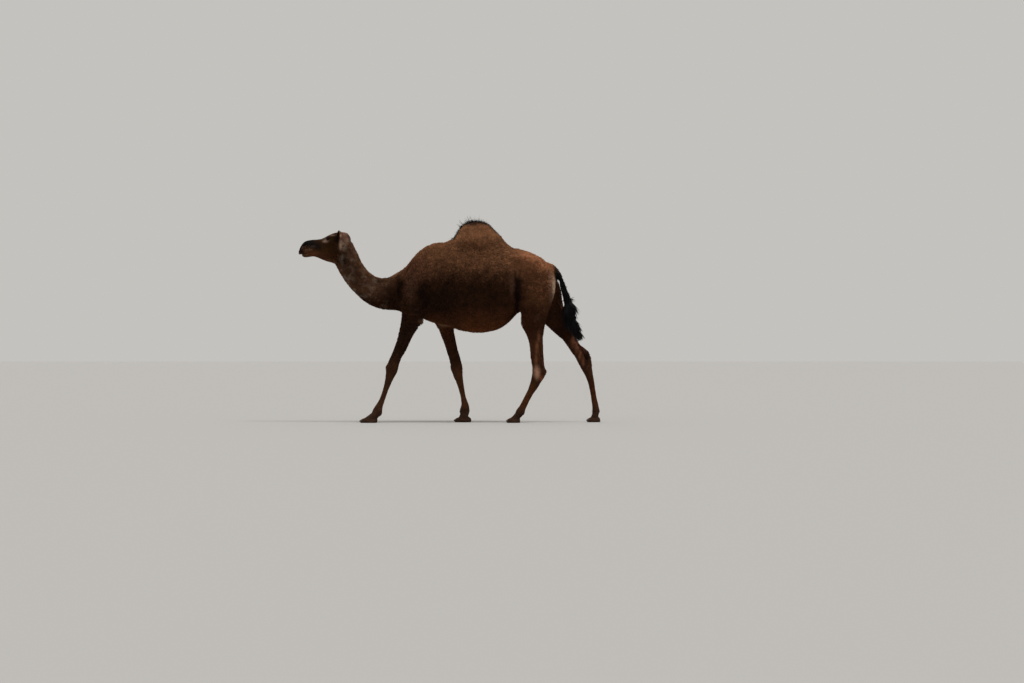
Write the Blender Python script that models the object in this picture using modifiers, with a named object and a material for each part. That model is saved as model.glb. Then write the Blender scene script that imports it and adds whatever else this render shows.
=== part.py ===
"""A dromedary camel at life size, standing in mid-walk with both left legs forward.

Metres, +Z up. The camel faces -X and its left side is towards -Y. The origin is on the floor under the
middle of its bounding box. The body is blocked out from lofts and ellipsoids, fused, smoothed where
muscle flows into muscle, and parted into named pieces with thin cuts.
"""

import math

import bmesh
import bpy
import numpy as np
from mathutils import Euler, Matrix, Vector

# Driving dimensions
HUMP_TOP = 2.105        # floor to the top of the hump
WITHERS = 1.885         # floor to the back just before the hump
CROUP = 1.81            # floor to the back behind the hump
BREAST = 1.085          # floor to the breastbone
BELLY = 0.945           # floor to the lowest point of the belly
BARREL_HALF = 0.332     # half the width of the barrel
CHEST_HALF = 0.235      # half the width of the chest behind the shoulders
LEG_SPREAD = 0.130      # middle of the body to the middle of a foot
THIGH_SPREAD = 0.142    # middle of the body to the middle of a thigh
ELBOW_SPREAD = 0.165    # middle of the body to the middle of an elbow
EYE_RADIUS = 0.021

GAP = 0.0004            # clearance between neighbouring solids

# How finely each form is fused, and how many triangles it is then brought down to
BODY_FORM = {"voxel": 0.011, "triangles": 2350}
HEAD_FORM = {"voxel": 0.0045, "triangles": 1250}
FOOT_FORM = {"voxel": 0.005, "triangles": 190}
TAIL_FORM = {"voxel": 0.008, "triangles": 150}

LEFT, RIGHT = -1, 1
SIDE_NAME = {LEFT: "left", RIGHT: "right"}


# ---------------------------------------------------------------- scene and finish

def clear_scene():
    for old in list(bpy.data.objects):
        bpy.data.objects.remove(old, do_unlink=True)


def linear(channel):
    """An sRGB channel as linear light."""
    return channel / 12.92 if channel <= 0.04045 else ((channel + 0.055) / 1.055) ** 2.4


def finish(name, srgb, roughness):
    """A plain Principled material."""
    material = bpy.data.materials.new(name)
    material.use_nodes = True
    shader = material.node_tree.nodes["Principled BSDF"]
    shader.inputs["Base Color"].default_value = [linear(c) for c in srgb] + [1]
    shader.inputs["Roughness"].default_value = roughness
    shader.inputs["Metallic"].default_value = 0
    material.diffuse_color = [*srgb, 1]
    return material


def new_collection(name, hidden=False):
    made = bpy.data.collections.new(name)
    made.hide_render = hidden
    bpy.context.scene.collection.children.link(made)
    return made


def add_object(name, mesh, collection):
    made = bpy.data.objects.new(name, mesh)
    collection.objects.link(made)
    return made


def baked(obj):
    """The object's mesh with its modifiers worked in."""
    bpy.context.view_layer.update()
    graph = bpy.context.evaluated_depsgraph_get()
    return bpy.data.meshes.new_from_object(obj.evaluated_get(graph), depsgraph=graph)


# ---------------------------------------------------------------- blocking-out shapes

def flow(stations, steps):
    """A Catmull-Rom curve through rows of numbers, with this many steps between two rows."""
    rows = [np.array(row, float) for row in stations]
    rows = [2 * rows[0] - rows[1], *rows, 2 * rows[-1] - rows[-2]]
    made = []
    for a, b, c, d in zip(rows, rows[1:], rows[2:], rows[3:]):
        for t in np.linspace(0, 1, steps, endpoint=False):
            made.append(0.5 * (2 * b + (c - a) * t + (2 * a - 5 * b + 4 * c - d) * t**2
                               + (3 * b - a - 3 * c + d) * t**3))
    made.append(rows[-2])
    return made


def tube_of_rings(rings):
    """A closed mesh through rings of equal length, with flat ends."""
    mesh = bmesh.new()
    made = [[mesh.verts.new(p) for p in ring] for ring in rings]
    count = len(made[0])
    for near, far in zip(made, made[1:]):
        for i in range(count):
            j = (i + 1) % count
            mesh.faces.new((near[i], near[j], far[j], far[i]))
    mesh.faces.new(list(reversed(made[0])))
    mesh.faces.new(made[-1])
    bmesh.ops.recalc_face_normals(mesh, faces=mesh.faces)
    return mesh


def superellipse(angle, power):
    """A point of a unit superellipse: power 2 is a circle, more is squarer."""
    c, s = math.cos(angle), math.sin(angle)
    return (math.copysign(abs(c) ** (2 / power), c), math.copysign(abs(s) ** (2 / power), s))


def limb(stations, sides=20, steps=5, power=2.0):
    """A loft along a limb. A station is x, y, z, half the depth fore and aft, half the width."""
    rows = flow(stations, steps)
    centres = [Vector(row[:3]) for row in rows]
    rings = []
    for i, row in enumerate(rows):
        along = (centres[min(i + 1, len(rows) - 1)] - centres[max(i - 1, 0)]).normalized()
        across = (Vector((0, 1, 0)) - along * along.y).normalized()
        fore = across.cross(along)
        ring = []
        for k in range(sides):
            c, s = superellipse(2 * math.pi * k / sides, power)
            ring.append(centres[i] + fore * (c * row[3]) + across * (s * row[4]))
        rings.append(ring)
    return tube_of_rings(rings)


def barrel(stations, sides=36, steps=5, power=2.15):
    """A loft along X with upright rings. A station is x, top, bottom, half width, egg.

    Egg narrows the upper half and fills the lower one."""
    rings = []
    for x, top, bottom, half, egg in flow(stations, steps):
        middle, reach = (top + bottom) / 2, (top - bottom) / 2
        ring = []
        for k in range(sides):
            c, s = superellipse(2 * math.pi * k / sides, power)
            ring.append(Vector((x, half * c * (1 - egg * s), middle + reach * s)))
        rings.append(ring)
    return tube_of_rings(rings)


def lump(centre, radii, pitch=0.0, yaw=0.0, roll=0.0, detail=20):
    """An ellipsoid. Pitch, yaw and roll are in degrees about Y, Z and X."""
    mesh = bmesh.new()
    bmesh.ops.create_uvsphere(mesh, u_segments=detail, v_segments=detail // 2, radius=1)
    turn = Euler([math.radians(a) for a in (roll, pitch, yaw)]).to_matrix().to_4x4()
    place = Matrix.Translation(centre) @ turn @ Matrix.Diagonal((*radii, 1))
    bmesh.ops.transform(mesh, matrix=place, verts=mesh.verts)
    return mesh


def fused(name, shapes, voxel, scratch):
    """The shapes as one closed skin, by voxel remeshing."""
    whole = bmesh.new()
    for shape in shapes:
        piece = bpy.data.meshes.new("piece")
        shape.to_mesh(piece)
        whole.from_mesh(piece)
        shape.free()
        bpy.data.meshes.remove(piece)
    mesh = bpy.data.meshes.new(name)
    whole.to_mesh(mesh)
    whole.free()
    obj = add_object(name, mesh, scratch)
    remesh = obj.modifiers.new("one_skin", "REMESH")
    remesh.mode = "VOXEL"
    remesh.voxel_size = voxel
    obj.data = baked(obj)
    obj.modifiers.clear()
    return obj


def everywhere(x, y, z):
    return np.ones_like(x)


def relax(obj, passes, weight=everywhere):
    """Smooths the mesh. Weight gives each point's share, from 0 to 1, from the points' x, y and z."""
    mesh = obj.data
    count = len(mesh.vertices)
    at = np.empty(count * 3)
    mesh.vertices.foreach_get("co", at)
    at = at.reshape(-1, 3)
    ends = np.empty(len(mesh.edges) * 2, int)
    mesh.edges.foreach_get("vertices", ends)
    a, b = ends.reshape(-1, 2).T
    degree = np.bincount(ends, minlength=count)[:, None]
    share = 0.5 * np.clip(weight(*at.T), 0, 1)[:, None]
    for _ in range(passes):
        total = np.zeros_like(at)
        for axis in range(3):
            total[:, axis] = (np.bincount(a, at[b, axis], count) + np.bincount(b, at[a, axis], count))
        at += share * (total / degree - at)
    mesh.vertices.foreach_set("co", at.ravel())
    mesh.update()


def thin_out(obj, triangles):
    """Reduces the mesh to about this many triangles."""
    obj.data.calc_loop_triangles()
    reduce = obj.modifiers.new("facets", "DECIMATE")
    reduce.ratio = triangles / len(obj.data.loop_triangles)
    reduce.use_collapse_triangulate = True
    obj.data = baked(obj)
    obj.modifiers.clear()


def ramp(value, low, high):
    """0 below low, 1 above high, and smooth between them."""
    t = np.clip((value - low) / (high - low), 0, 1)
    return t * t * (3 - 2 * t)


# ---------------------------------------------------------------- the body's masses

# The trunk: x, top, bottom, half width, egg
TRUNK = [
    (-0.600, 1.470, 1.240, 0.070, 0.00),
    (-0.555, 1.520, 1.195, 0.120, 0.00),
    (-0.490, 1.590, BREAST + 0.060, 0.72 * CHEST_HALF, 0.00),
    (-0.400, 1.705, BREAST + 0.030, 0.90 * CHEST_HALF, 0.08),
    (-0.300, 1.815, BREAST + 0.012, CHEST_HALF, 0.16),
    (-0.200, WITHERS - 0.012, BREAST - 0.008, 1.06 * CHEST_HALF, 0.22),
    (-0.100, WITHERS + 0.008, BREAST - 0.056, 0.78 * BARREL_HALF, 0.24),
    (0.000, WITHERS + 0.020, BREAST - 0.080, 0.86 * BARREL_HALF, 0.22),
    (0.130, WITHERS + 0.014, BELLY + 0.018, 0.95 * BARREL_HALF, 0.18),
    (0.270, WITHERS, BELLY - 0.004, BARREL_HALF, 0.14),
    (0.400, CROUP + 0.065, BELLY + 0.006, BARREL_HALF, 0.12),
    (0.520, CROUP + 0.050, BELLY + 0.040, 0.95 * BARREL_HALF, 0.12),
    (0.620, CROUP + 0.035, BELLY + 0.108, 0.83 * BARREL_HALF, 0.14),
    (0.720, CROUP + 0.014, BELLY + 0.208, 0.68 * BARREL_HALF, 0.16),
    (0.840, CROUP - 0.018, 1.205, 0.58 * BARREL_HALF, 0.16),
    (0.960, CROUP - 0.078, 1.260, 0.52 * BARREL_HALF, 0.10),
    (1.055, CROUP - 0.150, 1.330, 0.38 * BARREL_HALF, 0.00),
    (1.115, CROUP - 0.230, 1.400, 0.17 * BARREL_HALF, 0.00),
]

# The hump: x, top, bottom, half width, egg
HUMP = [
    (-0.010, WITHERS + 0.040, 1.760, 0.050, 0.00),
    (0.045, WITHERS + 0.070, 1.720, 0.105, 0.10),
    (0.085, HUMP_TOP - 0.075, 1.700, 0.135, 0.22),
    (0.125, HUMP_TOP - 0.020, 1.690, 0.150, 0.28),
    (0.180, HUMP_TOP + 0.014, 1.680, 0.166, 0.34),
    (0.240, HUMP_TOP + 0.024, 1.660, 0.180, 0.38),
    (0.310, HUMP_TOP + 0.024, 1.650, 0.188, 0.40),
    (0.380, HUMP_TOP + 0.010, 1.650, 0.184, 0.38),
    (0.445, HUMP_TOP - 0.034, 1.650, 0.170, 0.32),
    (0.510, HUMP_TOP - 0.108, 1.660, 0.146, 0.24),
    (0.570, CROUP + 0.108, 1.680, 0.115, 0.14),
    (0.640, CROUP + 0.046, 1.700, 0.070, 0.05),
]

# The neck, from the throat down its S to the breast: x, y, z, half depth, half width
NECK = [
    (-1.130, 0, 1.880, 0.105, 0.066),
    (-1.110, 0, 1.800, 0.122, 0.070),
    (-1.084, 0, 1.715, 0.134, 0.070),
    (-1.040, 0, 1.625, 0.131, 0.070),
    (-0.976, 0, 1.530, 0.132, 0.072),
    (-0.893, 0, 1.445, 0.138, 0.076),
    (-0.800, 0, 1.384, 0.152, 0.082),
    (-0.705, 0, 1.356, 0.168, 0.092),
    (-0.610, 0, 1.354, 0.178, 0.106),
    (-0.530, 0, 1.368, 0.190, 0.130),
    (-0.430, 0, 1.400, 0.215, 0.150),
]

# The legs in the walking pose, top to bottom: x, z, half depth, half width
FORELEG = {
    LEFT: [
        (-0.375, 1.180, 0.130, 0.085), (-0.399, 1.085, 0.112, 0.078), (-0.424, 1.010, 0.096, 0.072),
        (-0.455, 0.930, 0.078, 0.064), (-0.479, 0.860, 0.070, 0.058), (-0.510, 0.785, 0.064, 0.053),
        (-0.549, 0.705, 0.056, 0.048), (-0.585, 0.620, 0.059, 0.050), (-0.601, 0.560, 0.063, 0.052),
        (-0.616, 0.505, 0.054, 0.048), (-0.637, 0.440, 0.038, 0.040), (-0.668, 0.345, 0.030, 0.034),
        (-0.705, 0.238, 0.030, 0.033), (-0.728, 0.185, 0.037, 0.038), (-0.748, 0.140, 0.044, 0.044),
        (-0.765, 0.100, 0.044, 0.044),
    ],
    RIGHT: [
        (-0.105, 1.170, 0.130, 0.085), (-0.075, 1.085, 0.105, 0.078), (-0.046, 1.000, 0.082, 0.070),
        (-0.026, 0.930, 0.074, 0.064), (-0.006, 0.860, 0.067, 0.058), (0.019, 0.770, 0.060, 0.052),
        (0.046, 0.680, 0.058, 0.048), (0.062, 0.615, 0.060, 0.050), (0.071, 0.560, 0.060, 0.052),
        (0.080, 0.505, 0.053, 0.048), (0.098, 0.440, 0.040, 0.040), (0.121, 0.345, 0.031, 0.034),
        (0.139, 0.260, 0.029, 0.033), (0.152, 0.205, 0.036, 0.038), (0.160, 0.150, 0.046, 0.044),
        (0.157, 0.100, 0.046, 0.044),
    ],
}
HINDLEG = {
    LEFT: [
        (0.895, 1.600, 0.170, 0.085), (0.915, 1.480, 0.195, 0.106), (0.915, 1.370, 0.192, 0.116),
        (0.900, 1.265, 0.174, 0.112), (0.887, 1.165, 0.153, 0.102), (0.880, 1.070, 0.135, 0.088),
        (0.886, 0.985, 0.112, 0.074), (0.898, 0.895, 0.084, 0.060), (0.907, 0.800, 0.072, 0.050),
        (0.913, 0.700, 0.069, 0.043), (0.925, 0.600, 0.066, 0.040), (0.931, 0.530, 0.068, 0.042),
        (0.915, 0.468, 0.060, 0.042), (0.888, 0.400, 0.050, 0.038), (0.848, 0.325, 0.037, 0.032),
        (0.808, 0.250, 0.036, 0.030), (0.776, 0.185, 0.036, 0.032), (0.753, 0.135, 0.037, 0.038),
        (0.738, 0.100, 0.040, 0.040),
    ],
    RIGHT: [
        (0.905, 1.600, 0.170, 0.085), (0.938, 1.480, 0.190, 0.106), (0.975, 1.370, 0.186, 0.116),
        (1.022, 1.265, 0.170, 0.112), (1.070, 1.180, 0.152, 0.102), (1.118, 1.098, 0.134, 0.090),
        (1.186, 0.994, 0.100, 0.074), (1.246, 0.907, 0.071, 0.058), (1.315, 0.795, 0.060, 0.047),
        (1.372, 0.712, 0.060, 0.042), (1.412, 0.640, 0.062, 0.041), (1.440, 0.575, 0.056, 0.041),
        (1.464, 0.510, 0.045, 0.038), (1.486, 0.430, 0.035, 0.033), (1.504, 0.335, 0.031, 0.030),
        (1.516, 0.260, 0.031, 0.030), (1.530, 0.190, 0.034, 0.034), (1.539, 0.135, 0.036, 0.038),
        (1.543, 0.100, 0.036, 0.040),
    ],
}
KNEE, HOCK, FOOT_TOP = 8, 11, -4     # the rows at the knee, at the hock, and where the foot begins
HOCK_POINT = {LEFT: (0.985, 0.522), RIGHT: (1.468, 0.668)}
CALLUS = {LEFT: (-0.318, 1.075), RIGHT: (0.020, 1.040)}

# Where a leg is cut from the trunk, as a line in the side view
FORE_TOP_CUT = {LEFT: ((-0.64, 1.072), (-0.25, 1.080)), RIGHT: ((-0.19, 0.985), (0.10, 0.962))}
HIND_TOP_CUT = {LEFT: ((0.70, 1.100), (1.07, 1.030)), RIGHT: ((0.97, 0.940), (1.32, 1.190))}


def spread(z, upper):
    """How far from the middle a leg's axis is at this height."""
    share = min(max((z - 0.45) / 0.60, 0), 1)
    inward = 0.040 * min(max((z - 1.20) / 0.40, 0), 1)
    return LEG_SPREAD + (upper - LEG_SPREAD) * share - inward


def leg_rows(side, rows, upper):
    return [(x, side * spread(z, upper), z, depth, width) for x, z, depth, width in rows]


def fetlock_ridges(x, y, z, apart, size):
    """The two ridges above the toes."""
    return [lump((x, y + toe * apart, z), size) for toe in (-1, 1)]


def foreleg(side):
    rows = leg_rows(side, FORELEG[side], ELBOW_SPREAD)
    cx, cz = CALLUS[side]
    x, y, z = rows[KNEE][:3]
    return [
        limb(rows, sides=18),
        # the point of the elbow with its callus, and the flat front of the knee
        lump((cx, side * ELBOW_SPREAD, cz), (0.040, 0.046, 0.052), pitch=20),
        lump((x - 0.014, y, z + 0.010), (0.050, 0.055, 0.062)),
        lump((x + 0.030, y, z + 0.012), (0.032, 0.036, 0.060)),
    ]


def hindleg(side):
    rows = leg_rows(side, HINDLEG[side], THIGH_SPREAD)
    px, pz = HOCK_POINT[side]
    heel = Vector((px, rows[HOCK][1], pz))
    knee = Vector(rows[7][:3])
    shin = (Vector(rows[HOCK][:3]) - knee).normalized()
    behind = Vector((-shin.z, 0, shin.x))
    return [
        limb(rows, sides=18),
        # the point of the hock, and the tendon that runs down to it behind the shin
        limb([
            (*(heel - shin * 0.28 - behind * 0.028), 0.020, 0.016),
            (*(heel - shin * 0.15 - behind * 0.016), 0.016, 0.014),
            (*(heel - shin * 0.05), 0.020, 0.018),
            (*heel, 0.024, 0.024),
            (*(heel + shin * 0.045 - behind * 0.020), 0.024, 0.022),
        ], sides=12),
        # buttock and kneecap
        lump((1.000, side * 0.098, 1.440), (0.110, 0.082, 0.210), pitch=-6),
        lump((rows[5][0] - 0.070, side * (THIGH_SPREAD + 0.020), rows[5][2] + 0.035), (0.060, 0.058, 0.110),
             pitch=-20 if side == RIGHT else 4),
    ]


def shoulder(side):
    """The shoulder blade, the upper arm and the muscle over the elbow."""
    ex, ez = FORELEG[side][1][:2]
    swing = 0.30 * (ex + 0.24)
    blade_top = Vector((-0.175 + 0.2 * swing, side * 0.085, 1.790))
    point = Vector((-0.455 + 0.8 * swing, side * 0.150, 1.330))
    return [
        limb([
            (*blade_top, 0.060, 0.045),
            (*blade_top.lerp(point, 0.30), 0.105, 0.066),
            (*blade_top.lerp(point, 0.65), 0.110, 0.078),
            (*point, 0.090, 0.078),
        ], sides=16),
        lump((point.x + 0.02, side * 0.160, point.z - 0.020), (0.085, 0.075, 0.120)),
        lump((0.5 * (point.x + ex) + 0.05, side * 0.165, 1.245), (0.135, 0.078, 0.150), pitch=-20),
    ]


def body_shapes():
    shapes = [barrel(TRUNK), barrel(HUMP, sides=28), limb(NECK, sides=26, power=2.2)]
    # the breast swells before the forelegs, and the pad on the breastbone lies between them
    shapes.append(lump((-0.520, 0, 1.285), (0.115, 0.120, 0.115)))
    shapes.append(lump((-0.160, 0, 1.130), (0.220, 0.120, 0.085), pitch=16))
    # hip bones and the loin
    for side in (LEFT, RIGHT):
        shapes.append(lump((0.800, side * 0.135, 1.660), (0.150, 0.085, 0.110), pitch=20, yaw=side * 8))
        shapes += shoulder(side) + foreleg(side) + hindleg(side)
    return shapes


# The tail, from its root to the tip of the brush: x, y, z, half depth, half width
TAIL_CUT = ((1.10, 1.255), (1.40, 1.330))
DOCK = [
    (1.020, 0.000, 1.655, 0.040, 0.050), (1.082, 0.000, 1.622, 0.036, 0.046),
    (1.130, 0.000, 1.575, 0.029, 0.036), (1.163, -0.004, 1.505, 0.025, 0.028),
    (1.188, -0.008, 1.425, 0.025, 0.026), (1.214, -0.012, 1.345, 0.028, 0.027),
    (1.235, -0.016, 1.275, 0.040, 0.030),
]
BRUSH = [
    (1.226, -0.014, 1.310, 0.030, 0.026), (1.238, -0.018, 1.245, 0.052, 0.034),
    (1.240, -0.022, 1.165, 0.062, 0.040), (1.258, -0.024, 1.085, 0.064, 0.042),
    (1.286, -0.024, 1.015, 0.055, 0.038), (1.322, -0.024, 0.955, 0.042, 0.031),
    (1.356, -0.024, 0.907, 0.027, 0.022), (1.384, -0.024, 0.872, 0.010, 0.009),
]


# ---------------------------------------------------------------- feet

FORE_FOOT = {"length": 0.188, "width": 0.170, "height": 0.060}
HIND_FOOT = {"length": 0.150, "width": 0.140, "height": 0.058}
FORE_FOOT_X = {LEFT: -0.842, RIGHT: 0.136}
HIND_FOOT_X = {LEFT: 0.668, RIGHT: 1.516}


def foot_shapes(x, y, rows, size):
    """A broad two-toed foot: a low pad, two toes on it, and the pasterns up into the cannon."""
    long, wide, high = size["length"], size["width"], size["height"]
    fx, _, fz, depth, width = rows[-2]
    shapes = [
        limb(rows[-5:], sides=18),
        lump((x + 0.02 * long, y, 0.012), (0.46 * long, 0.47 * wide, 0.56 * high)),
        lump((x + 0.24 * long, y, 0.018), (0.25 * long, 0.40 * wide, 0.70 * high)),
    ]
    shapes += fetlock_ridges(fx, y, fz, 0.55 * width, (0.98 * depth, 0.60 * width, 0.050))
    for toe in (-1, 1):
        shapes.append(lump((x - 0.20 * long, y + toe * 0.235 * wide, 0.014), (0.31 * long, 0.225 * wide, 0.62 * high),
                           yaw=toe * 7))
        shapes.append(limb([
            (fx, y + toe * 0.09 * wide, fz + 0.010, 0.20 * wide, 0.16 * wide),
            (0.6 * fx + 0.4 * (x + 0.1 * long), y + toe * 0.13 * wide, 0.088, 0.21 * wide, 0.17 * wide),
            (0.2 * fx + 0.8 * x, y + toe * 0.17 * wide, 0.052, 0.22 * wide, 0.20 * wide),
            (x - 0.14 * long, y + toe * 0.215 * wide, 0.030, 0.17 * wide, 0.20 * wide),
        ], sides=14))
    return shapes


def nail(x, y, toe, size):
    """One toenail: a short blunt claw that caps the front of a toe and slopes towards the ground."""
    long, wide = size["length"], size["width"]
    return lump((x - 0.435 * long, y + toe * 0.262 * wide, 0.0205), (0.105 * long, 0.100 * wide, 0.0135),
                pitch=-22, detail=10)


# ---------------------------------------------------------------- the head

# Upper head, nose to poll: x, top, bottom, half width, egg
SKULL = [
    (-1.589, 1.796, 1.768, 0.018, 0.00),
    (-1.577, 1.824, 1.761, 0.031, -0.05),
    (-1.557, 1.868, 1.759, 0.042, 0.00),
    (-1.527, 1.900, 1.762, 0.048, 0.05),
    (-1.490, 1.914, 1.768, 0.050, 0.08),
    (-1.445, 1.921, 1.775, 0.048, 0.12),
    (-1.400, 1.924, 1.780, 0.048, 0.14),
    (-1.355, 1.930, 1.780, 0.054, 0.12),
    (-1.315, 1.946, 1.780, 0.066, 0.06),
    (-1.270, 1.969, 1.780, 0.077, 0.00),
    (-1.225, 1.987, 1.785, 0.081, 0.02),
    (-1.180, 1.998, 1.800, 0.078, 0.06),
    (-1.130, 2.001, 1.815, 0.070, 0.10),
    (-1.085, 1.990, 1.830, 0.058, 0.10),
    (-1.050, 1.950, 1.850, 0.034, 0.00),
]

# Lower jaw, chin to the angle of the jaw: x, top, bottom, half width, egg
JAW = [
    (-1.549, 1.762, 1.748, 0.020, 0.00),
    (-1.535, 1.772, 1.738, 0.032, 0.00),
    (-1.505, 1.790, 1.734, 0.037, -0.10),
    (-1.470, 1.800, 1.738, 0.036, -0.10),
    (-1.430, 1.810, 1.742, 0.035, 0.00),
    (-1.380, 1.830, 1.726, 0.040, 0.10),
    (-1.330, 1.850, 1.704, 0.048, 0.05),
    (-1.285, 1.870, 1.688, 0.056, 0.00),
    (-1.240, 1.880, 1.677, 0.060, -0.05),
    (-1.195, 1.880, 1.668, 0.058, 0.00),
    (-1.150, 1.860, 1.690, 0.050, 0.00),
]

# In the side view: the cut behind the head, and the line of the mouth and on under the cheek
THROAT, NAPE = (-1.250, 1.590), (-1.000, 1.940)
MOUTH = [
    (-1.620, 1.759), (-1.550, 1.761), (-1.509, 1.772), (-1.425, 1.790), (-1.370, 1.778), (-1.300, 1.752),
    (-1.240, 1.715), (-1.190, 1.600),
]
EYE = (-1.266, 0.0690, 1.9215)
EAR_ROOT = (-1.168, 0.066, 1.933)
EAR_LENGTH = 0.082


def head_shapes():
    shapes = [
        barrel(SKULL, sides=28, power=2.2),
        barrel(JAW, sides=24, power=2.2),
        # throat and upper neck, which the head is cut from
        limb(NECK[:5], sides=24, power=2.2),
        lump((-1.115, 0, 1.950), (0.062, 0.062, 0.045), pitch=25),
        lump((-1.150, 0, 1.760), (0.085, 0.062, 0.095), pitch=-20),
        # the split upper lip overhangs the lower one
        lump((-1.552, 0, 1.786), (0.030, 0.034, 0.024), pitch=-40),
    ]
    for side in (LEFT, RIGHT):
        shapes += [
            # cheek muscle, cheekbone under the eye, brow over it, and the lids' swelling
            lump((-1.228, side * 0.040, 1.785), (0.090, 0.030, 0.090), pitch=-12),
            lump((-1.258, side * 0.056, 1.890), (0.100, 0.024, 0.024), pitch=-14, yaw=side * 10),
            lump((-1.246, side * 0.056, 1.946), (0.052, 0.030, 0.018), pitch=-18),
            lump((EYE[0], side * 0.058, EYE[2]), (0.036, 0.025, 0.029)),
            # nostril flank and the fold of the upper lip
            lump((-1.508, side * 0.030, 1.866), (0.044, 0.020, 0.024), pitch=-30),
            lump((-1.500, side * 0.032, 1.795), (0.050, 0.018, 0.030), pitch=-8),
            # root of the ear
            lump((EAR_ROOT[0] + 0.004, side * (EAR_ROOT[1] - 0.012), EAR_ROOT[2] - 0.002),
                 (0.032, 0.026, 0.036)),
        ]
    return shapes


def ear(side):
    """A small cupped ear that stands up and a little out, open to the front and side."""
    root = Vector((EAR_ROOT[0], side * EAR_ROOT[1], EAR_ROOT[2] - 0.028))
    up = Vector((0.13, side * 0.36, 1)).normalized()
    forward = (Vector((-1, side * 0.75, 0)) - up * Vector((-1, side * 0.75, 0)).dot(up)).normalized()
    across = up.cross(forward)
    rings = []
    # share of the length, half width, wall, depth of the cup
    for share, half, wall, cup in flow([
        (0.00, 0.016, 0.0110, 0.004), (0.20, 0.021, 0.0090, 0.011), (0.42, 0.026, 0.0070, 0.017),
        (0.64, 0.027, 0.0060, 0.017), (0.82, 0.023, 0.0054, 0.012), (0.94, 0.015, 0.0046, 0.006),
        (1.00, 0.007, 0.0036, 0.002),
    ], 1):
        centre = root + up * (share * (EAR_LENGTH + 0.030))
        around = 5
        outer, inner = [], []
        for k in range(around):
            t = -1 + 2 * k / (around - 1)
            bend = cup * (t * t) - 0.4 * cup
            thick = wall * (1.15 - 0.75 * abs(t))
            outer.append(centre + across * (half * t) + forward * (bend - thick))
            inner.append(centre + across * (half * t * 0.96) + forward * (bend + 0.15 * thick))
        rings.append(outer + inner[::-1])
    return tube_of_rings(rings)


def eyeball(side):
    mesh = bmesh.new()
    bmesh.ops.create_uvsphere(mesh, u_segments=12, v_segments=8, radius=EYE_RADIUS)
    place = Matrix.Translation((EYE[0], side * EYE[1], EYE[2])) @ Matrix.Rotation(math.pi / 2, 4, "X")
    bmesh.ops.transform(mesh, matrix=place, verts=mesh.verts)
    return mesh


# ---------------------------------------------------------------- parting the body

def thin_cut(profile, low_y, high_y, scratch):
    """A curtain GAP thick: a profile of x and z points in the side view, drawn out from low_y to high_y."""
    points = [Vector((x, 0, z)) for x, z in profile]
    normals = []
    for i in range(len(points)):
        along = (points[min(i + 1, len(points) - 1)] - points[max(i - 1, 0)]).normalized()
        normals.append(Vector((-along.z, 0, along.x)) * (GAP / 2))
    loop = [p + n for p, n in zip(points, normals)] + [p - n for p, n in zip(reversed(points), reversed(normals))]
    rings = [[p + Vector((0, y, 0)) for p in loop] for y in (low_y, high_y)]
    return object_of("cut", tube_of_rings(rings), scratch)


def object_of(name, shape, collection):
    mesh = bpy.data.meshes.new(name)
    shape.to_mesh(mesh)
    shape.free()
    return add_object(name, mesh, collection)


def subtract(obj, cutters):
    for cutter in cutters:
        cutter.display_type = "WIRE"
        cut = obj.modifiers.new("cut", "BOOLEAN")
        cut.operation = "DIFFERENCE"
        cut.solver = "EXACT"
        cut.object = cutter
    obj.data = baked(obj)
    obj.modifiers.clear()


def swollen(obj, by, scratch):
    """A copy of the object with its surface pushed out, to cut a seat with clearance."""
    copy = add_object(obj.name + "_seat", obj.data.copy(), scratch)
    push = copy.modifiers.new("clearance", "DISPLACE")
    push.strength = by
    push.mid_level = 0
    copy.data = baked(copy)
    copy.modifiers.clear()
    return copy


def cut_away(obj, where, outward):
    """Cuts off what lies beyond a plane, and closes the cut."""
    shape = bmesh.new()
    shape.from_mesh(obj.data)
    everything = [*shape.verts, *shape.edges, *shape.faces]
    bmesh.ops.bisect_plane(shape, geom=everything, plane_co=where, plane_no=outward, clear_outer=True)
    bmesh.ops.holes_fill(shape, edges=[e for e in shape.edges if e.is_boundary])
    bmesh.ops.triangulate(shape, faces=[f for f in shape.faces if len(f.verts) > 4])
    bmesh.ops.recalc_face_normals(shape, faces=shape.faces)
    shape.to_mesh(obj.data)
    shape.free()


def keep_side(obj, line, side):
    """Cuts the object square to the side view along a line of two points, half a GAP short of it.

    Side 1 keeps what lies to the right of the line as it runs, and -1 what lies to the left."""
    start, end = (Vector((x, 0, z)) for x, z in line)
    along = (end - start).normalized()
    outward = Vector((-along.z, 0, along.x)) * side
    cut_away(obj, start - outward * (GAP / 2), outward)


def islands(obj):
    """The object's separate bodies, each as a shape and the middle of its points."""
    shape = bmesh.new()
    shape.from_mesh(obj.data)
    left = set(shape.verts)
    found = []
    while left:
        seed = left.pop()
        group, stack = {seed}, [seed]
        while stack:
            for edge in stack.pop().link_edges:
                for vert in edge.verts:
                    if vert in left:
                        left.discard(vert)
                        group.add(vert)
                        stack.append(vert)
        found.append(group)
    made = []
    for group in found:
        piece = bmesh.new()
        index = {v: piece.verts.new(v.co) for v in group}
        for face in shape.faces:
            if face.verts[0] in group:
                piece.faces.new([index[v] for v in face.verts])
        made.append((piece, sum((v.co for v in group), Vector()) / len(group)))
    shape.free()
    return made


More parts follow.
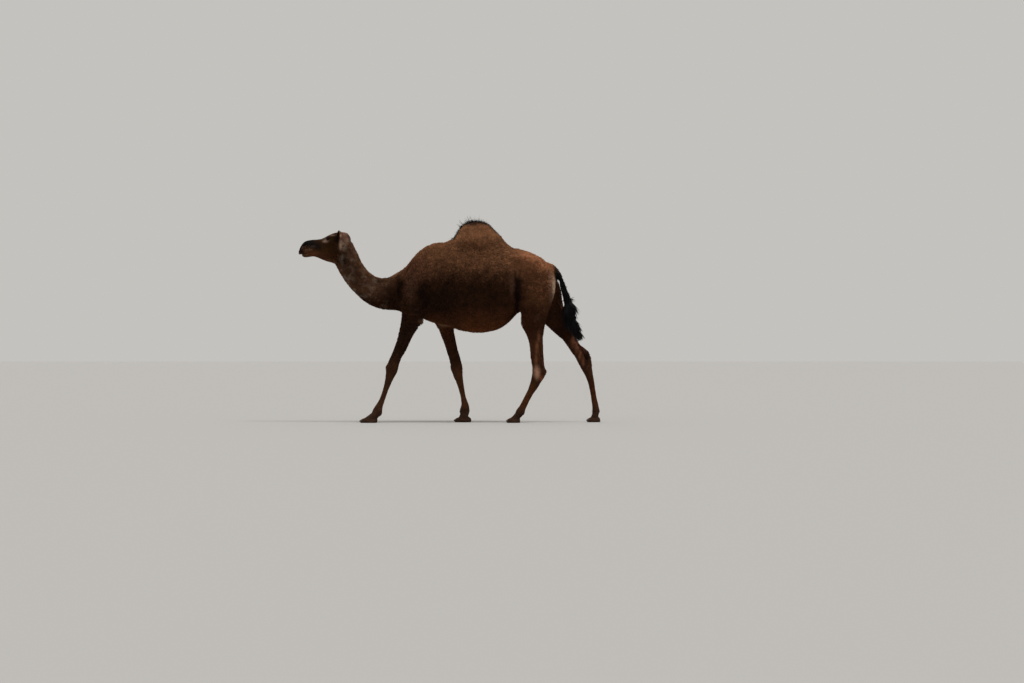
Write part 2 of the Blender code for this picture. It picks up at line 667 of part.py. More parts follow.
def part_by_seeds(obj, seeds, collection, material):
    """Gives each separate body of the object the name of the nearest seed, and drops crumbs."""
    pieces = {}
    for piece, middle in islands(obj):
        name = min(seeds, key=lambda n: (Vector(seeds[n]) - middle).length)
        volume = piece.calc_volume(signed=False)
        if name in pieces and pieces[name][1] > volume:
            piece.free()
            continue
        if name in pieces:
            pieces[name][0].free()
        pieces[name] = (piece, volume)
    made = {}
    for name, (piece, _) in pieces.items():
        made[name] = object_of(name, piece, collection)
        made[name].data.materials.clear()
        made[name].data.materials.append(material)
    return made


def square_line(rows, index, reach):
    """A line in the side view, square to a leg at one of its rows, from front to back."""
    x, _, z = rows[index][:3]
    along = Vector((rows[index + 1][0] - rows[index - 1][0], 0, rows[index + 1][2] - rows[index - 1][2]))
    across = Vector((-along.z, 0, along.x)).normalized() * reach
    return (x - across.x, z - across.z), (x + across.x, z + across.z)


def leg_cuts(scratch):
    """Cuts across each leg: under the trunk, at the knee or hock, and above the fetlock."""
    cuts, seeds = [], {}
    for side in (LEFT, RIGHT):
        reach = sorted((side * 0.004, side * 0.480))
        for leg, upper, rows, top, joint, seed in (
            ("foreleg", "forearm", FORELEG, FORE_TOP_CUT, KNEE, 6),
            ("hindleg", "gaskin", HINDLEG, HIND_TOP_CUT, HOCK, 9),
        ):
            rows = leg_rows(side, rows[side], THIGH_SPREAD)
            cuts.append(thin_cut(top[side], *reach, scratch))
            cuts.append(thin_cut(square_line(rows, joint + 1, 0.105), *reach, scratch))
            cuts.append(thin_cut(square_line(rows, FOOT_TOP, 0.080), *reach, scratch))
            name = f"{leg}_{SIDE_NAME[side]}"
            seeds[f"{name}_{upper}"] = rows[seed][:3]
            seeds[f"{name}_cannon"] = rows[joint + 3][:3]
            seeds[f"{name}_stump"] = rows[-1][:3]
    return cuts, seeds


# Cuts through the neck and trunk, as lines in the side view, and a point inside each piece
TRUNK_CUTS = {
    "nape": [THROAT, NAPE],
    "mid_neck": [(-1.120, 1.370), (-0.840, 1.640)],
    "low_neck": [(-0.740, 1.100), (-0.700, 1.600)],
    "breast": [(-0.500, 1.090), (-0.545, 1.300), (-0.480, 1.720)],
    "girth": [(-0.190, 0.990), (-0.160, 1.300), (-0.110, 2.000)],
    "flank": [(0.640, 0.900), (0.690, 1.300), (0.660, 2.000)],
    "under_hump": [(-0.040, 1.990), (0.060, 1.880), (0.180, 1.835), (0.320, 1.822), (0.460, 1.830),
                   (0.580, 1.850), (0.655, 1.905)],
}
TRUNK_SEEDS = {
    "head_stump": (-1.15, 0, 1.85), "neck_upper": (-1.06, 0, 1.64), "neck_middle": (-0.88, 0, 1.43),
    "neck_lower": (-0.62, 0, 1.36), "forequarters": (-0.30, 0, 1.45), "barrel": (0.27, 0, 1.40),
    "hump": (0.30, 0, 1.98), "hindquarters": (0.90, 0, 1.45),
}


def build_body(scratch, camel, coat):
    body = fused("body_form", body_shapes(), BODY_FORM["voxel"], scratch)
    # muscle flows together over the trunk, less on the hump; below the elbow and stifle the bones stand out
    relax(body, 50, lambda x, y, z: ramp(z, 1.04, 1.24) * ramp(x, -0.62, -0.45) * (1 - 0.7 * ramp(z, 1.9, 2.0)))
    relax(body, 14, lambda x, y, z: ramp(z, 0.90, 1.10) * ramp(x, -0.75, -0.60))
    relax(body, 5)
    thin_out(body, BODY_FORM["triangles"])
    seat = swollen(body, GAP, scratch)
    cuts, seeds = leg_cuts(scratch)
    cuts += [thin_cut(line, -0.5, 0.5, scratch) for line in TRUNK_CUTS.values()]
    subtract(body, cuts)
    parts = part_by_seeds(body, seeds | TRUNK_SEEDS, camel, coat)
    for name in [n for n in parts if n.endswith("_stump")]:  # the head and feet are finer forms of their own
        bpy.data.objects.remove(parts.pop(name), do_unlink=True)
    return parts, seat


def largest(obj):
    """Leaves only the biggest of the object's separate bodies."""
    pieces = [piece for piece, _ in islands(obj)]
    best = max(pieces, key=lambda piece: piece.calc_volume(signed=False))
    best.to_mesh(obj.data)
    for piece in pieces:
        piece.free()


def dress(obj, name, collection, material):
    """Names a finished part, puts it into the model's collection and gives it its finish."""
    made = add_object(name, obj.data.copy(), collection)
    made.data.materials.clear()
    made.data.materials.append(material)
    return made


def build_tail(scratch, camel, coat, hair, seat):
    forms = {}
    for name, rows in (("tail_dock", DOCK), ("tail_brush", BRUSH)):
        forms[name] = fused("tail_form", [limb(rows, sides=16)], TAIL_FORM["voxel"], scratch)
        relax(forms[name], 4)
        thin_out(forms[name], TAIL_FORM["triangles"])
    subtract(forms["tail_dock"], [seat])
    keep_side(forms["tail_dock"], TAIL_CUT, -1)
    largest(forms["tail_dock"])
    keep_side(forms["tail_brush"], TAIL_CUT, 1)
    finishes = {"tail_dock": coat, "tail_brush": hair}
    return {name: dress(form, name, camel, finishes[name]) for name, form in forms.items()}


def build_feet(scratch, camel, coat, horn):
    made = {}
    for leg, rows, size, where, upper in (
        ("foreleg", FORELEG, FORE_FOOT, FORE_FOOT_X, ELBOW_SPREAD),
        ("hindleg", HINDLEG, HIND_FOOT, HIND_FOOT_X, THIGH_SPREAD),
    ):
        for side in (LEFT, RIGHT):
            at = leg_rows(side, rows[side], upper)
            x, y = where[side], side * LEG_SPREAD
            name = f"{leg}_{SIDE_NAME[side]}"
            foot = fused("foot_form", foot_shapes(x, y, at, size), FOOT_FORM["voxel"], scratch)
            relax(foot, 16)
            thin_out(foot, FOOT_FORM["triangles"])
            keep_side(foot, square_line(at, FOOT_TOP, 0.1), 1)
            cut_away(foot, (0, 0, 0), (0, 0, -1))
            for toe in (-1, 1):
                claw = object_of("nail_form", nail(x, y, toe, size), scratch)
                subtract(foot, [swollen(claw, GAP, scratch)])
                which = "outer" if toe == side else "inner"
                made[f"{name}_nail_{which}"] = dress(claw, f"{name}_nail_{which}", camel, horn)
            largest(foot)
            made[f"{name}_foot"] = dress(foot, f"{name}_foot", camel, coat)
    return made


def build_head(scratch, camel, coat, eye_finish):
    head = fused("head_form", head_shapes(), HEAD_FORM["voxel"], scratch)
    relax(head, 12)
    # the cheek and the back of the skull are the smoothest parts
    relax(head, 40, lambda x, y, z: np.maximum(ramp(x, -1.22, -1.14),
                                               0.7 * ramp(x, -1.34, -1.28) * (1 - ramp(z, 1.80, 1.84))))
    thin_out(head, HEAD_FORM["triangles"])
    keep_side(head, (THROAT, NAPE), -1)
    seat = swollen(head, GAP, scratch)
    made = {}
    for side in (LEFT, RIGHT):
        word = SIDE_NAME[side]
        ball = object_of("eye_form", eyeball(side), scratch)
        subtract(head, [swollen(ball, GAP, scratch)])
        made[f"eye_{word}"] = dress(ball, f"eye_{word}", camel, eye_finish)
        flap = object_of("ear_form", ear(side), scratch)
        subtract(flap, [seat])
        largest(flap)
        made[f"ear_{word}"] = dress(flap, f"ear_{word}", camel, coat)
    subtract(head, [thin_cut(MOUTH, -0.3, 0.3, scratch)])
    made.update(part_by_seeds(head, {"head": (-1.30, 0, 1.87), "lower_jaw": (-1.40, 0, 1.73)}, camel, coat))
    return made


def settle(parts):
    """Puts the middle of the bounding box over the origin and the soles on the floor."""
    points = [vert.co for obj in parts.values() for vert in obj.data.vertices]
    low, high = (Vector([pick(p[i] for p in points) for i in range(3)]) for pick in (min, max))
    for obj in parts.values():
        obj.data.transform(Matrix.Translation((-(low.x + high.x) / 2, -(low.y + high.y) / 2, -low.z)))


def main():
    clear_scene()
    camel = new_collection("dromedary camel")
    scratch = new_collection("cutters and guides", hidden=True)
    coat = finish("short brown coat", (0.30, 0.20, 0.14), 0.9)
    hair = finish("black tail hair", (0.07, 0.065, 0.07), 0.8)
    horn = finish("toenail horn", (0.16, 0.13, 0.11), 0.5)
    eye_finish = finish("dark brown eye", (0.06, 0.035, 0.025), 0.1)
    parts, seat = build_body(scratch, camel, coat)
    parts |= build_tail(scratch, camel, coat, hair, seat)
    parts |= build_feet(scratch, camel, coat, horn)
    parts |= build_head(scratch, camel, coat, eye_finish)
    settle(parts)


main()
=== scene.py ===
import math

import bmesh
import bpy
import numpy as np
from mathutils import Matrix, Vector
from mathutils.bvhtree import BVHTree


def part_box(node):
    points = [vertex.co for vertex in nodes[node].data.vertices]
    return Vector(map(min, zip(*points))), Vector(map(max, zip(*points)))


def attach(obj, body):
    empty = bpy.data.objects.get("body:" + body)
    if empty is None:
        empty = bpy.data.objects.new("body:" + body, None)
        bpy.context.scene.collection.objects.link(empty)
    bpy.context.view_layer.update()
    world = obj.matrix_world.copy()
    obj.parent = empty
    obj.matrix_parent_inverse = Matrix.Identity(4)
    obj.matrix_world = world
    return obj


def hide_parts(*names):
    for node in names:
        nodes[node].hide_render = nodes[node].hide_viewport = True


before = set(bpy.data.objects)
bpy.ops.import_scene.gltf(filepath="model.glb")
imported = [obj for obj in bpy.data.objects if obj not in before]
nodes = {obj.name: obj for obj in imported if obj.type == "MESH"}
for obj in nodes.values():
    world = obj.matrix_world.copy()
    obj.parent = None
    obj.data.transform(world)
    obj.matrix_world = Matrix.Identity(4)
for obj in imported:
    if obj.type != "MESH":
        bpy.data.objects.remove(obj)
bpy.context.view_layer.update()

# A dromedary camel as a life-size museum model. Metres, facing -X, its left side towards -Y.
# One skin lies over the whole body inside the solids, and tufts of hair stand out from it to their surface.


def ease(value, low, high):
    # 0 below low, 1 above high, smooth between
    t = np.clip((value - low) / (high - low), 0, 1)
    return t * t * (3 - 2 * t)


def fall(value, low, high):
    return 1 - ease(value, low, high)


def bell(value):
    return np.exp(-value ** 2)


def unit(vectors):
    return vectors / np.linalg.norm(vectors, axis=1)[:, None]


def mirrored(points):
    # the same places with y counted outwards, so that left and right are one
    return np.stack([points[:, 0], np.abs(points[:, 1]), points[:, 2]], 1)


def toLinear(hexColour):
    # an sRGB hex colour as linear light
    parts = [int(hexColour[i:i + 2], 16) / 255 for i in (1, 3, 5)]
    return [c / 12.92 if c <= 0.04045 else ((c + 0.055) / 1.055) ** 2.4 for c in parts] + [1]


def newObject(name, mesh):
    made = bpy.data.objects.new(name, mesh)
    bpy.context.scene.collection.objects.link(made)
    return made


def worked(obj):
    # the object's mesh with its modifiers worked in
    bpy.context.view_layer.update()
    graph = bpy.context.evaluated_depsgraph_get()
    return bpy.data.meshes.new_from_object(obj.evaluated_get(graph), depsgraph=graph)


def applyModifiers(obj):
    old = obj.data
    obj.data = worked(obj)
    obj.modifiers.clear()
    bpy.data.meshes.remove(old)


def read(items, key, width, kind=np.float32):
    # one property of all items of a mesh, a row for each
    values = np.empty(len(items) * width, kind)
    items.foreach_get(key, values)
    return values.reshape(-1, width)


def pointsOf(mesh):
    return read(mesh.vertices, "co", 3).astype(float)


def normalsOf(mesh):
    return read(mesh.vertices, "normal", 3).astype(float)


def edgesOf(mesh):
    return read(mesh.edges, "vertices", 2, np.int32)


def trianglesOf(mesh, of="vertices"):
    mesh.calc_loop_triangles()
    return read(mesh.loop_triangles, of, 3, np.int32)


def setPoints(mesh, points):
    mesh.vertices.foreach_set("co", points.astype(np.float32).ravel())
    mesh.update()


def smoothed(points, edges, weight, passes, hold=0.0):
    # evens the surface; hold near 1 pushes back after each pass so that thin parts keep their girth
    count = len(points)
    a, b = edges.T
    degree = np.bincount(edges.ravel(), minlength=count)[:, None]
    for turn in range(passes):
        total = np.empty_like(points)
        for axis in range(3):
            total[:, axis] = (np.bincount(a, points[b, axis], count)
                              + np.bincount(b, points[a, axis], count))
        step = 0.5 if turn % 2 == 0 or not hold else -0.52 * hold
        points = points + step * weight[:, None] * (total / degree - points)
    return points


def reduceTo(obj, share):
    # fewer triangles, by collapsed edges
    reduce = obj.modifiers.new("fewer", "DECIMATE")
    reduce.ratio = share
    reduce.use_collapse_triangulate = True
    applyModifiers(obj)


def setSmooth(mesh):
    mesh.polygons.foreach_set("use_smooth", np.ones(len(mesh.polygons), bool))


def meshFrom(shape, name, material=None):
    # a bmesh as a smooth mesh with its normals outwards
    bmesh.ops.recalc_face_normals(shape, faces=shape.faces)
    mesh = bpy.data.meshes.new(name)
    shape.to_mesh(mesh)
    shape.free()
    setSmooth(mesh)
    if material:
        mesh.materials.append(material)
    return mesh


def shapeOf(points, faces):
    # points and faces as a bmesh
    held = bpy.data.meshes.new("held")
    held.from_pydata([tuple(p) for p in points], [], faces)
    shape = bmesh.new()
    shape.from_mesh(held)
    bpy.data.meshes.remove(held)
    return shape


def fusedSolids(name, solids, grow, voxel):
    # the named solids grown until they meet, and remade as one surface
    whole = bmesh.new()
    for solid in solids:
        part = bmesh.new()
        part.from_mesh(nodes[solid].data)
        bmesh.ops.remove_doubles(part, verts=part.verts, dist=1e-5)
        part.normal_update()
        for vert in part.verts:
            vert.co += vert.normal * grow
        held = bpy.data.meshes.new("part")
        part.to_mesh(held)
        part.free()
        whole.from_mesh(held)
        bpy.data.meshes.remove(held)
    mesh = bpy.data.meshes.new(name)
    whole.to_mesh(mesh)
    whole.free()
    obj = newObject(name, mesh)
    remesh = obj.modifiers.new("oneSurface", "REMESH")
    remesh.mode = "VOXEL"
    remesh.voxel_size = voxel
    applyModifiers(obj)
    return obj


# where things are on the body, from the solids
eyeLow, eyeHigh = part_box("eye_left")
eyeAt = mirrored(np.array([(eyeLow + eyeHigh) / 2]))[0]
eyeRadius = (eyeHigh.x - eyeLow.x) / 2
earLow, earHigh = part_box("ear_left")
feet = {}
for leg in ("foreleg_left", "foreleg_right", "hindleg_left", "hindleg_right"):
    low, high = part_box(leg + "_foot")
    feet[leg] = {"toe": low.x, "y": (low.y + high.y) / 2, "width": high.y - low.y}


def toward(points, centre, radius):
    # 1 at a point, falling smoothly to 0 at the radius
    return fall(np.linalg.norm(points - np.array(centre), axis=1) / radius, 0, 1)


def alongPath(points, path):
    # how far from a path each point is, how far along it from 0 to 1, and which way the path runs there
    path = np.array(path, float)
    best = np.full(len(points), 1e9)
    share = np.zeros(len(points))
    heading = np.zeros_like(points)
    lengths = np.linalg.norm(np.diff(path, axis=0), axis=1)
    starts = np.concatenate([[0], np.cumsum(lengths)])
    for i, (p, q) in enumerate(zip(path, path[1:])):
        d = q - p
        t = np.clip((points - p) @ d / (d @ d), 0, 1)
        away = np.linalg.norm(points - p - t[:, None] * d, axis=1)
        closer = away < best
        best[closer] = away[closer]
        share[closer] = (starts[i] + t[closer] * lengths[i]) / starts[-1]
        heading[closer] = d / np.linalg.norm(d)
    return best, share, heading


def sideView(path):
    # a path of x and z as one in the plane of symmetry
    return [(x, 0, z) for x, z in path]


bodySkin = {
    "voxel": 0.0046,        # how finely the surface is remade
    "flowVoxel": 0.012,     # how coarsely the big masses are first smoothed
    "grow": 0.0022,         # what closes the cuts between the solids
    "triangles": 188000,
}

flesh = [n for n in nodes if not n.startswith("eye") and "nail" not in n and n != "tail_brush"]
skin = fusedSolids("skin", flesh, bodySkin["grow"], bodySkin["voxel"])
flow = fusedSolids("flow", flesh, bodySkin["grow"], bodySkin["flowVoxel"])
print("skin: one surface of", len(skin.data.vertices), "points")

at = pointsOf(skin.data)
edges = edgesOf(skin.data)


def isHead(p):
    # the head, its ears and the throat
    side = (p[:, 0] + 1.13) * 0.82 - (p[:, 2] - 1.79) * 0.57
    return fall(side, -0.05, 0.05)


def isLowerLeg(p):
    return fall(p[:, 2], 0.66, 0.92)


def isFoot(p):
    return fall(p[:, 2], 0.13, 0.24)


def isEar(p):
    behind = ease(p[:, 0], earLow.x - 0.01, earLow.x + 0.002)
    behind *= fall(p[:, 0], earHigh.x, earHigh.x + 0.012)
    return behind * ease(np.abs(p[:, 1]) + 0.5 * (p[:, 2] - 1.95), 0.07, 0.08) * ease(p[:, 2], 1.925, 1.945)


flowAt = pointsOf(flow.data)
big = 1 - np.maximum(isHead(flowAt), 0.75 * isLowerLeg(flowAt))
flowAt = smoothed(flowAt, edgesOf(flow.data), np.ones(len(flowAt)), 14)
flowAt = smoothed(flowAt, edgesOf(flow.data), big, 50, hold=1)
setPoints(flow.data, flowAt)

# the fine surface takes the smooth masses' shape, all but on the head and lower legs
big = (1 - isHead(at)) * (1 - isLowerLeg(at))
masses = BVHTree.FromPolygons(flowAt.tolist(), [list(f.vertices) for f in flow.data.polygons])
for i in np.nonzero(big > 0.02)[0]:
    spot = masses.find_nearest(at[i])[0]
    at[i] += big[i] * (np.array(spot) - at[i])
bpy.data.objects.remove(flow)

everywhere = np.ones(len(at))
at = smoothed(at, edges, everywhere * (1 - 0.75 * isEar(at)), 8)
at = smoothed(at, edges, np.maximum(1 - isEar(at), 0.1) * (1 - 0.5 * isFoot(at)), 24, hold=1)
setPoints(skin.data, at)
print("skin: masses smoothed")


def carve(amounts):
    # moves the surface along its own normals, by metres outwards
    global at
    at = at + normalsOf(skin.data) * amounts[:, None]
    setPoints(skin.data, at)


def furrow(p, path, depth, width, rim, ends, nearby=1.0):
    # a furrow of this half width along a path, with a raised rim, fading at both ends
    away, share, _ = alongPath(p, path)
    fade = ease(share, -0.001, ends) * fall(share, 1 - ends, 1.001) * nearby
    return fade * (rim * bell((away - 2.2 * width) / width) - depth * bell(away / width))


def groove(path, depth, width, rim=0.0, ends=0.12):
    # a furrow on left and right alike, with y counted outwards
    return furrow(mirrored(at), path, depth, width, rim, ends)


def oneSide(path, depth, width, y, reach=0.09, rim=0.0):
    # a furrow along a path of x and z, on whatever skin lies within reach of y
    nearby = 1 - ease(np.abs(at[:, 1] - y), 0.6 * reach, reach)
    return furrow(at * (1, 0, 1), sideView(path), depth, width, rim, 0.12, nearby)


def swell(centre, radius, height):
    # a swelling on left and right alike
    return height * toward(mirrored(at), centre, radius)


def lump(centre, radius, height):
    # a swelling in one place
    return height * toward(at, centre, radius)


headForm = {
    # paths and spots on the left side, y counted outwards; depths in metres
    "nostril": [(-1.548, 0.036, 1.838), (-1.526, 0.046, 1.856), (-1.49, 0.049, 1.884)],
    "nostrilDepth": 0.0125,
    "mouth": [(-1.6, 1.757), (-1.552, 1.76), (-1.51, 1.771), (-1.462, 1.783), (-1.428, 1.79)],
    "mouthDepth": 0.0075,
    "splitLip": [(-1.56, 0, 1.872), (-1.592, 0, 1.82), (-1.598, 0, 1.76)],
    "splitDepth": 0.008,
    "eyeFolds": [      # path, depth, half width and rim
        ([(-1.296, 0.08, 1.903), (-1.272, 0.086, 1.893), (-1.243, 0.086, 1.898)], 0.0026, 0.0042, 0.001),
        ([(-1.304, 0.078, 1.895), (-1.276, 0.084, 1.881), (-1.238, 0.086, 1.887)], 0.0018, 0.005, 0.0008),
        ([(-1.293, 0.078, 1.946), (-1.262, 0.084, 1.957), (-1.236, 0.082, 1.95)], 0.0022, 0.0045, 0.001),
    ],
    "wrinkles": 4,
}

# nostrils with raised rims, the wing over them and the hollow between them and the lip
carve(groove(headForm["nostril"], headForm["nostrilDepth"], 0.0048, rim=0.003, ends=0.2))
carve(groove([(-1.535, 0.045, 1.82), (-1.485, 0.05, 1.838)], 0.0035, 0.01, ends=0.3)
      + swell((-1.505, 0.047, 1.895), 0.03, 0.003)
      + swell((-1.548, 0.034, 1.8), 0.034, 0.0045))

# the split of the upper lip runs up between the nostrils
carve(groove(headForm["splitLip"], headForm["splitDepth"], 0.0042, rim=0.0022, ends=0.25) * (at[:, 0] < -1.5))

# the line of the mouth is the same on both sides, so it is measured in the side view
away, share, _ = alongPath(at * (1, 0, 1), sideView(headForm["mouth"]))
fade = fall(share, 0.86, 1.0) * (at[:, 0] < -1.415)
carve(fade * (0.0022 * bell((away - 0.0115) / 0.006) - headForm["mouthDepth"] * bell(away / 0.004)))

# lower lip, corner of the mouth, and the hollow behind the chin
carve(swell((-1.528, 0.0, 1.748), 0.034, 0.003)
      + swell((-1.418, 0.046, 1.792), 0.02, 0.003)
      - swell((-1.478, 0.034, 1.752), 0.026, 0.003))

# orbit: a raised rim and brow, hollows before and behind it, and folds of skin round the eye
carve(swell(eyeAt + (0, 0.01, 0.002), 0.047, 0.0055)
      + swell(eyeAt + (0.006, 0.006, 0.03), 0.03, 0.004)
      - swell((-1.207, 0.066, 1.962), 0.034, 0.006)
      - swell((-1.322, 0.066, 1.925), 0.036, 0.0045))
carve(sum(groove(*fold) for fold in headForm["eyeFolds"]))

# cheekbone back to the ear, the face crest, cheek muscle and jaw
carve(-groove([(-1.335, 0.062, 1.874), (-1.268, 0.078, 1.88), (-1.196, 0.078, 1.9)], 0.004, 0.013)
      + groove([(-1.33, 0.062, 1.843), (-1.26, 0.066, 1.842), (-1.205, 0.072, 1.862)], 0.0035, 0.016)
      + swell((-1.236, 0.062, 1.782), 0.062, 0.0045)
      + groove([(-1.345, 0.046, 1.812), (-1.33, 0.054, 1.765), (-1.312, 0.05, 1.722)], 0.004, 0.013)
      + groove([(-1.158, 0.066, 1.862), (-1.16, 0.066, 1.79), (-1.182, 0.06, 1.716)], 0.0055, 0.015)
      + groove([(-1.52, 0.044, 1.908), (-1.44, 0.046, 1.905), (-1.372, 0.048, 1.903)], 0.0016, 0.012))

# wrinkles between mouth and nose
wrinkles = [[(-1.462 + 0.015 * k, 0.045, 1.858 - 0.004 * k), (-1.448 + 0.016 * k, 0.048, 1.806)]
            for k in range(headForm["wrinkles"])]
carve(sum(groove(wrinkle, 0.0013, 0.004) for wrinkle in wrinkles))
print("skin: head carved")

trunkForm = {
    # paths of x and z; the right side's lie further back, as its legs stand otherwise
    "flankFold": [(0.7, 1.7), (0.706, 1.56), (0.716, 1.4), (0.728, 1.26), (0.742, 1.15)],
    "flankDepth": {"left": 0.024, "right": 0.014},
    "behindShoulder": [(-0.105, 1.72), (-0.14, 1.56), (-0.165, 1.4), (-0.215, 1.24), (-0.262, 1.15)],
}

# flank folds, the hollow behind the shoulder, and the hollow before the hip with the bones round it
fold, hollow = trunkForm["flankFold"], trunkForm["behindShoulder"]
carve(oneSide(fold, trunkForm["flankDepth"]["left"], 0.032, -0.26, 0.2, 0.007)
      + oneSide([(x + 0.03, z) for x, z in fold], trunkForm["flankDepth"]["right"], 0.03, 0.26, 0.2, 0.003))
carve(oneSide(hollow, 0.01, 0.04, -0.26, 0.22, 0.003)
      + oneSide([(x + 0.05, z) for x, z in hollow], 0.009, 0.045, 0.26, 0.22, 0.003)
      - swell((0.61, 0.235, 1.69), 0.13, 0.012)
      + swell((0.752, 0.185, 1.725), 0.075, 0.01)
      + swell((1.005, 0.15, 1.56), 0.11, 0.008))
# withers and croup stand a little prouder, and the hair at the back of the far thigh is deep
carve(groove([(-0.66, 0, 1.53), (-0.5, 0, 1.6), (-0.36, 0, 1.72), (-0.22, 0, 1.82), (-0.05, 0, 1.87)],
             -0.01, 0.1)
      + groove([(0.66, 0, 1.83), (0.84, 0, 1.78), (1.0, 0, 1.69)], -0.006, 0.11)
      + lump((1.136, 0.15, 1.385), 0.17, 0.02)
      + lump((1.112, 0.13, 1.48), 0.1, 0.01))
# stifle, the callus of the elbow, and the points of the hocks
carve(lump((0.75, -0.19, 1.03), 0.13, 0.014)
      + lump((-0.298, -0.19, 1.056), 0.062, 0.023)
      + lump((1.002, -0.13, 0.532), 0.05, 0.01)
      + lump((1.425, 0.13, 0.74), 0.1, 0.022))
# shoulder blade's ridge, the groove along its front, and the muscles of the upper arm
carve(-oneSide([(-0.18, 1.76), (-0.3, 1.56), (-0.4, 1.39)], 0.006, 0.028, -0.2, 0.2)
      - oneSide([(-0.15, 1.76), (-0.25, 1.56), (-0.34, 1.39)], 0.006, 0.028, 0.2, 0.2)
      + oneSide([(-0.3, 1.7), (-0.4, 1.52), (-0.48, 1.38)], 0.007, 0.022, -0.2, 0.2)
      + oneSide([(-0.28, 1.7), (-0.36, 1.52), (-0.43, 1.38)], 0.007, 0.022, 0.2, 0.2)
      + oneSide([(-0.25, 1.33), (-0.33, 1.23), (-0.36, 1.12)], 0.006, 0.02, -0.24, 0.12)
      + oneSide([(-0.4, 1.23), (-0.43, 1.13), (-0.47, 1.0)], 0.005, 0.018, -0.24, 0.12))
# thigh muscles and the long groove down the back of the thigh
carve(oneSide([(0.88, 1.56), (0.905, 1.4), (0.93, 1.24), (0.935, 1.12)], 0.006, 0.026, -0.26, 0.16)
      + oneSide([(0.92, 1.56), (0.985, 1.4), (1.06, 1.24), (1.125, 1.12)], 0.006, 0.026, 0.26, 0.16)
      + oneSide([(1.045, 1.62), (1.052, 1.48), (1.03, 1.3), (0.99, 1.15)], 0.007, 0.02, -0.2, 0.18)
      + oneSide([(1.085, 1.6), (1.12, 1.46), (1.16, 1.3), (1.19, 1.18)], 0.007, 0.02, 0.2, 0.18))
# grooves along the windpipe and under the neck's crest
carve(groove([(-1.1, 0.06, 1.69), (-1.04, 0.064, 1.58), (-0.955, 0.07, 1.47), (-0.85, 0.078, 1.372),
              (-0.73, 0.088, 1.31), (-0.62, 0.1, 1.29)], 0.0065, 0.02)
      + groove([(-1.07, 0.04, 1.83), (-0.99, 0.05, 1.69), (-0.9, 0.056, 1.56), (-0.79, 0.062, 1.485),
                (-0.66, 0.075, 1.47)], 0.0045, 0.02))
# the pad on the breastbone stands out flat between the forelegs
padAt = (-0.085, 0, 1.03)
carve(swell(padAt, 0.085, 0.014))
print("skin: trunk and neck carved")

tendons = {
    "foreleg_left": [(-0.612, 0.455), (-0.646, 0.35), (-0.69, 0.24)],
    "foreleg_right": [(0.112, 0.455), (0.132, 0.35), (0.152, 0.26)],
    "hindleg_left": [(0.925, 0.425), (0.872, 0.325), (0.822, 0.24)],
    "hindleg_right": [(1.476, 0.5), (1.508, 0.38), (1.52, 0.27)],
}
for leg, tendon in tendons.items():
    carve(oneSide(tendon, 0.0042, 0.0085, feet[leg]["y"], 0.06, 0.0012))
# the strings of the hocks stand free of the shin
carve(oneSide([(0.958, 0.545), (0.956, 0.64), (0.95, 0.74), (0.938, 0.85)], 0.0105, 0.011, -0.13, rim=0.002)
      + oneSide([(1.447, 0.64), (1.408, 0.72), (1.368, 0.79), (1.312, 0.88)], 0.0105, 0.011, 0.13, rim=0.002))
# muscles of the forearm and gaskin part above knee and hock
carve(oneSide([(-0.4, 0.98), (-0.47, 0.85), (-0.54, 0.7)], 0.004, 0.012, -0.17)
      + oneSide([(-0.02, 0.98), (0.02, 0.85), (0.058, 0.7)], 0.004, 0.012, 0.17)
      + oneSide([(0.905, 1.01), (0.9, 0.88), (0.905, 0.73)], 0.004, 0.013, -0.14)
      + oneSide([(1.18, 1.06), (1.255, 0.92), (1.345, 0.78)], 0.004, 0.013, 0.14))
# hard pads on the knees, with a hollow under each
kneePads = [(-0.655, -0.135, 0.578), (0.022, 0.135, 0.575)]
carve(sum(lump(spot, 0.05, 0.004) for spot in kneePads)
      - sum(lump((x + 0.012, y, z - 0.062), 0.036, 0.003) for x, y, z in kneePads))
# pasterns are full, with hair down to the heel: middle, reach and how far they fill out
pasterns = [
    ((-0.748, -0.13, 0.094), 0.088, 0.02),
    ((0.132, 0.13, 0.1), 0.09, 0.017),
    ((0.728, -0.13, 0.1), 0.085, 0.018),
    ((1.535, 0.13, 0.098), 0.08, 0.011),
]
carve(sum(lump(*pastern) for pastern in pasterns))
# the cleft between the toes, from the nails up to the fetlock
for leg, foot in feet.items():
    toe, y, size = foot["toe"], foot["y"], foot["width"] / 0.15
    upward = [(-0.002, 0.006), (0.03 * size, 0.034), (0.075 * size, 0.06), (0.125 * size, 0.088)]
    away, share, _ = alongPath(at, [(toe + x, y, z) for x, z in upward])
    carve(fall(share, 0.7, 1.0) * (0.002 * bell((away - 0.016) / 0.008) - 0.009 * bell(away / 0.0065)))
    # the sole's rim bulges over the ground
    carve(0.0022 * (bell((at[:, 2] - 0.012) / 0.009) * toward(at, (toe + 0.09, y, 0.012), 0.2)))
print("skin: legs carved")

# how deep the coat lies over the skin, in metres; below zero the skin itself stands proud of the solids
coatDepth = {
    "trunk": 0.0042, "neck": 0.0048, "head": 0.0018, "muzzle": 0.0006, "ear": -0.0014,
    "leg": 0.0006, "foot": 0.0004, "tail": 0.0045, "crest": 0.031,
}
tailLine = [(1.085, 0, 1.622), (1.13, 0, 1.575), (1.163, -0.004, 1.505), (1.188, -0.008, 1.425),
            (1.214, -0.012, 1.345), (1.24, -0.016, 1.275), (1.25, -0.02, 1.13), (1.29, -0.024, 1.03),
            (1.35, -0.024, 0.93), (1.38, -0.024, 0.885)]
crestPath = [(-0.005, 0, 1.895), (0.045, 0, 1.965), (0.085, 0, 2.04), (0.125, 0, 2.095), (0.18, 0, 2.122),
             (0.245, 0, 2.128), (0.315, 0, 2.128), (0.38, 0, 2.112), (0.44, 0, 2.072), (0.5, 0, 2.005),
             (0.56, 0, 1.93)]


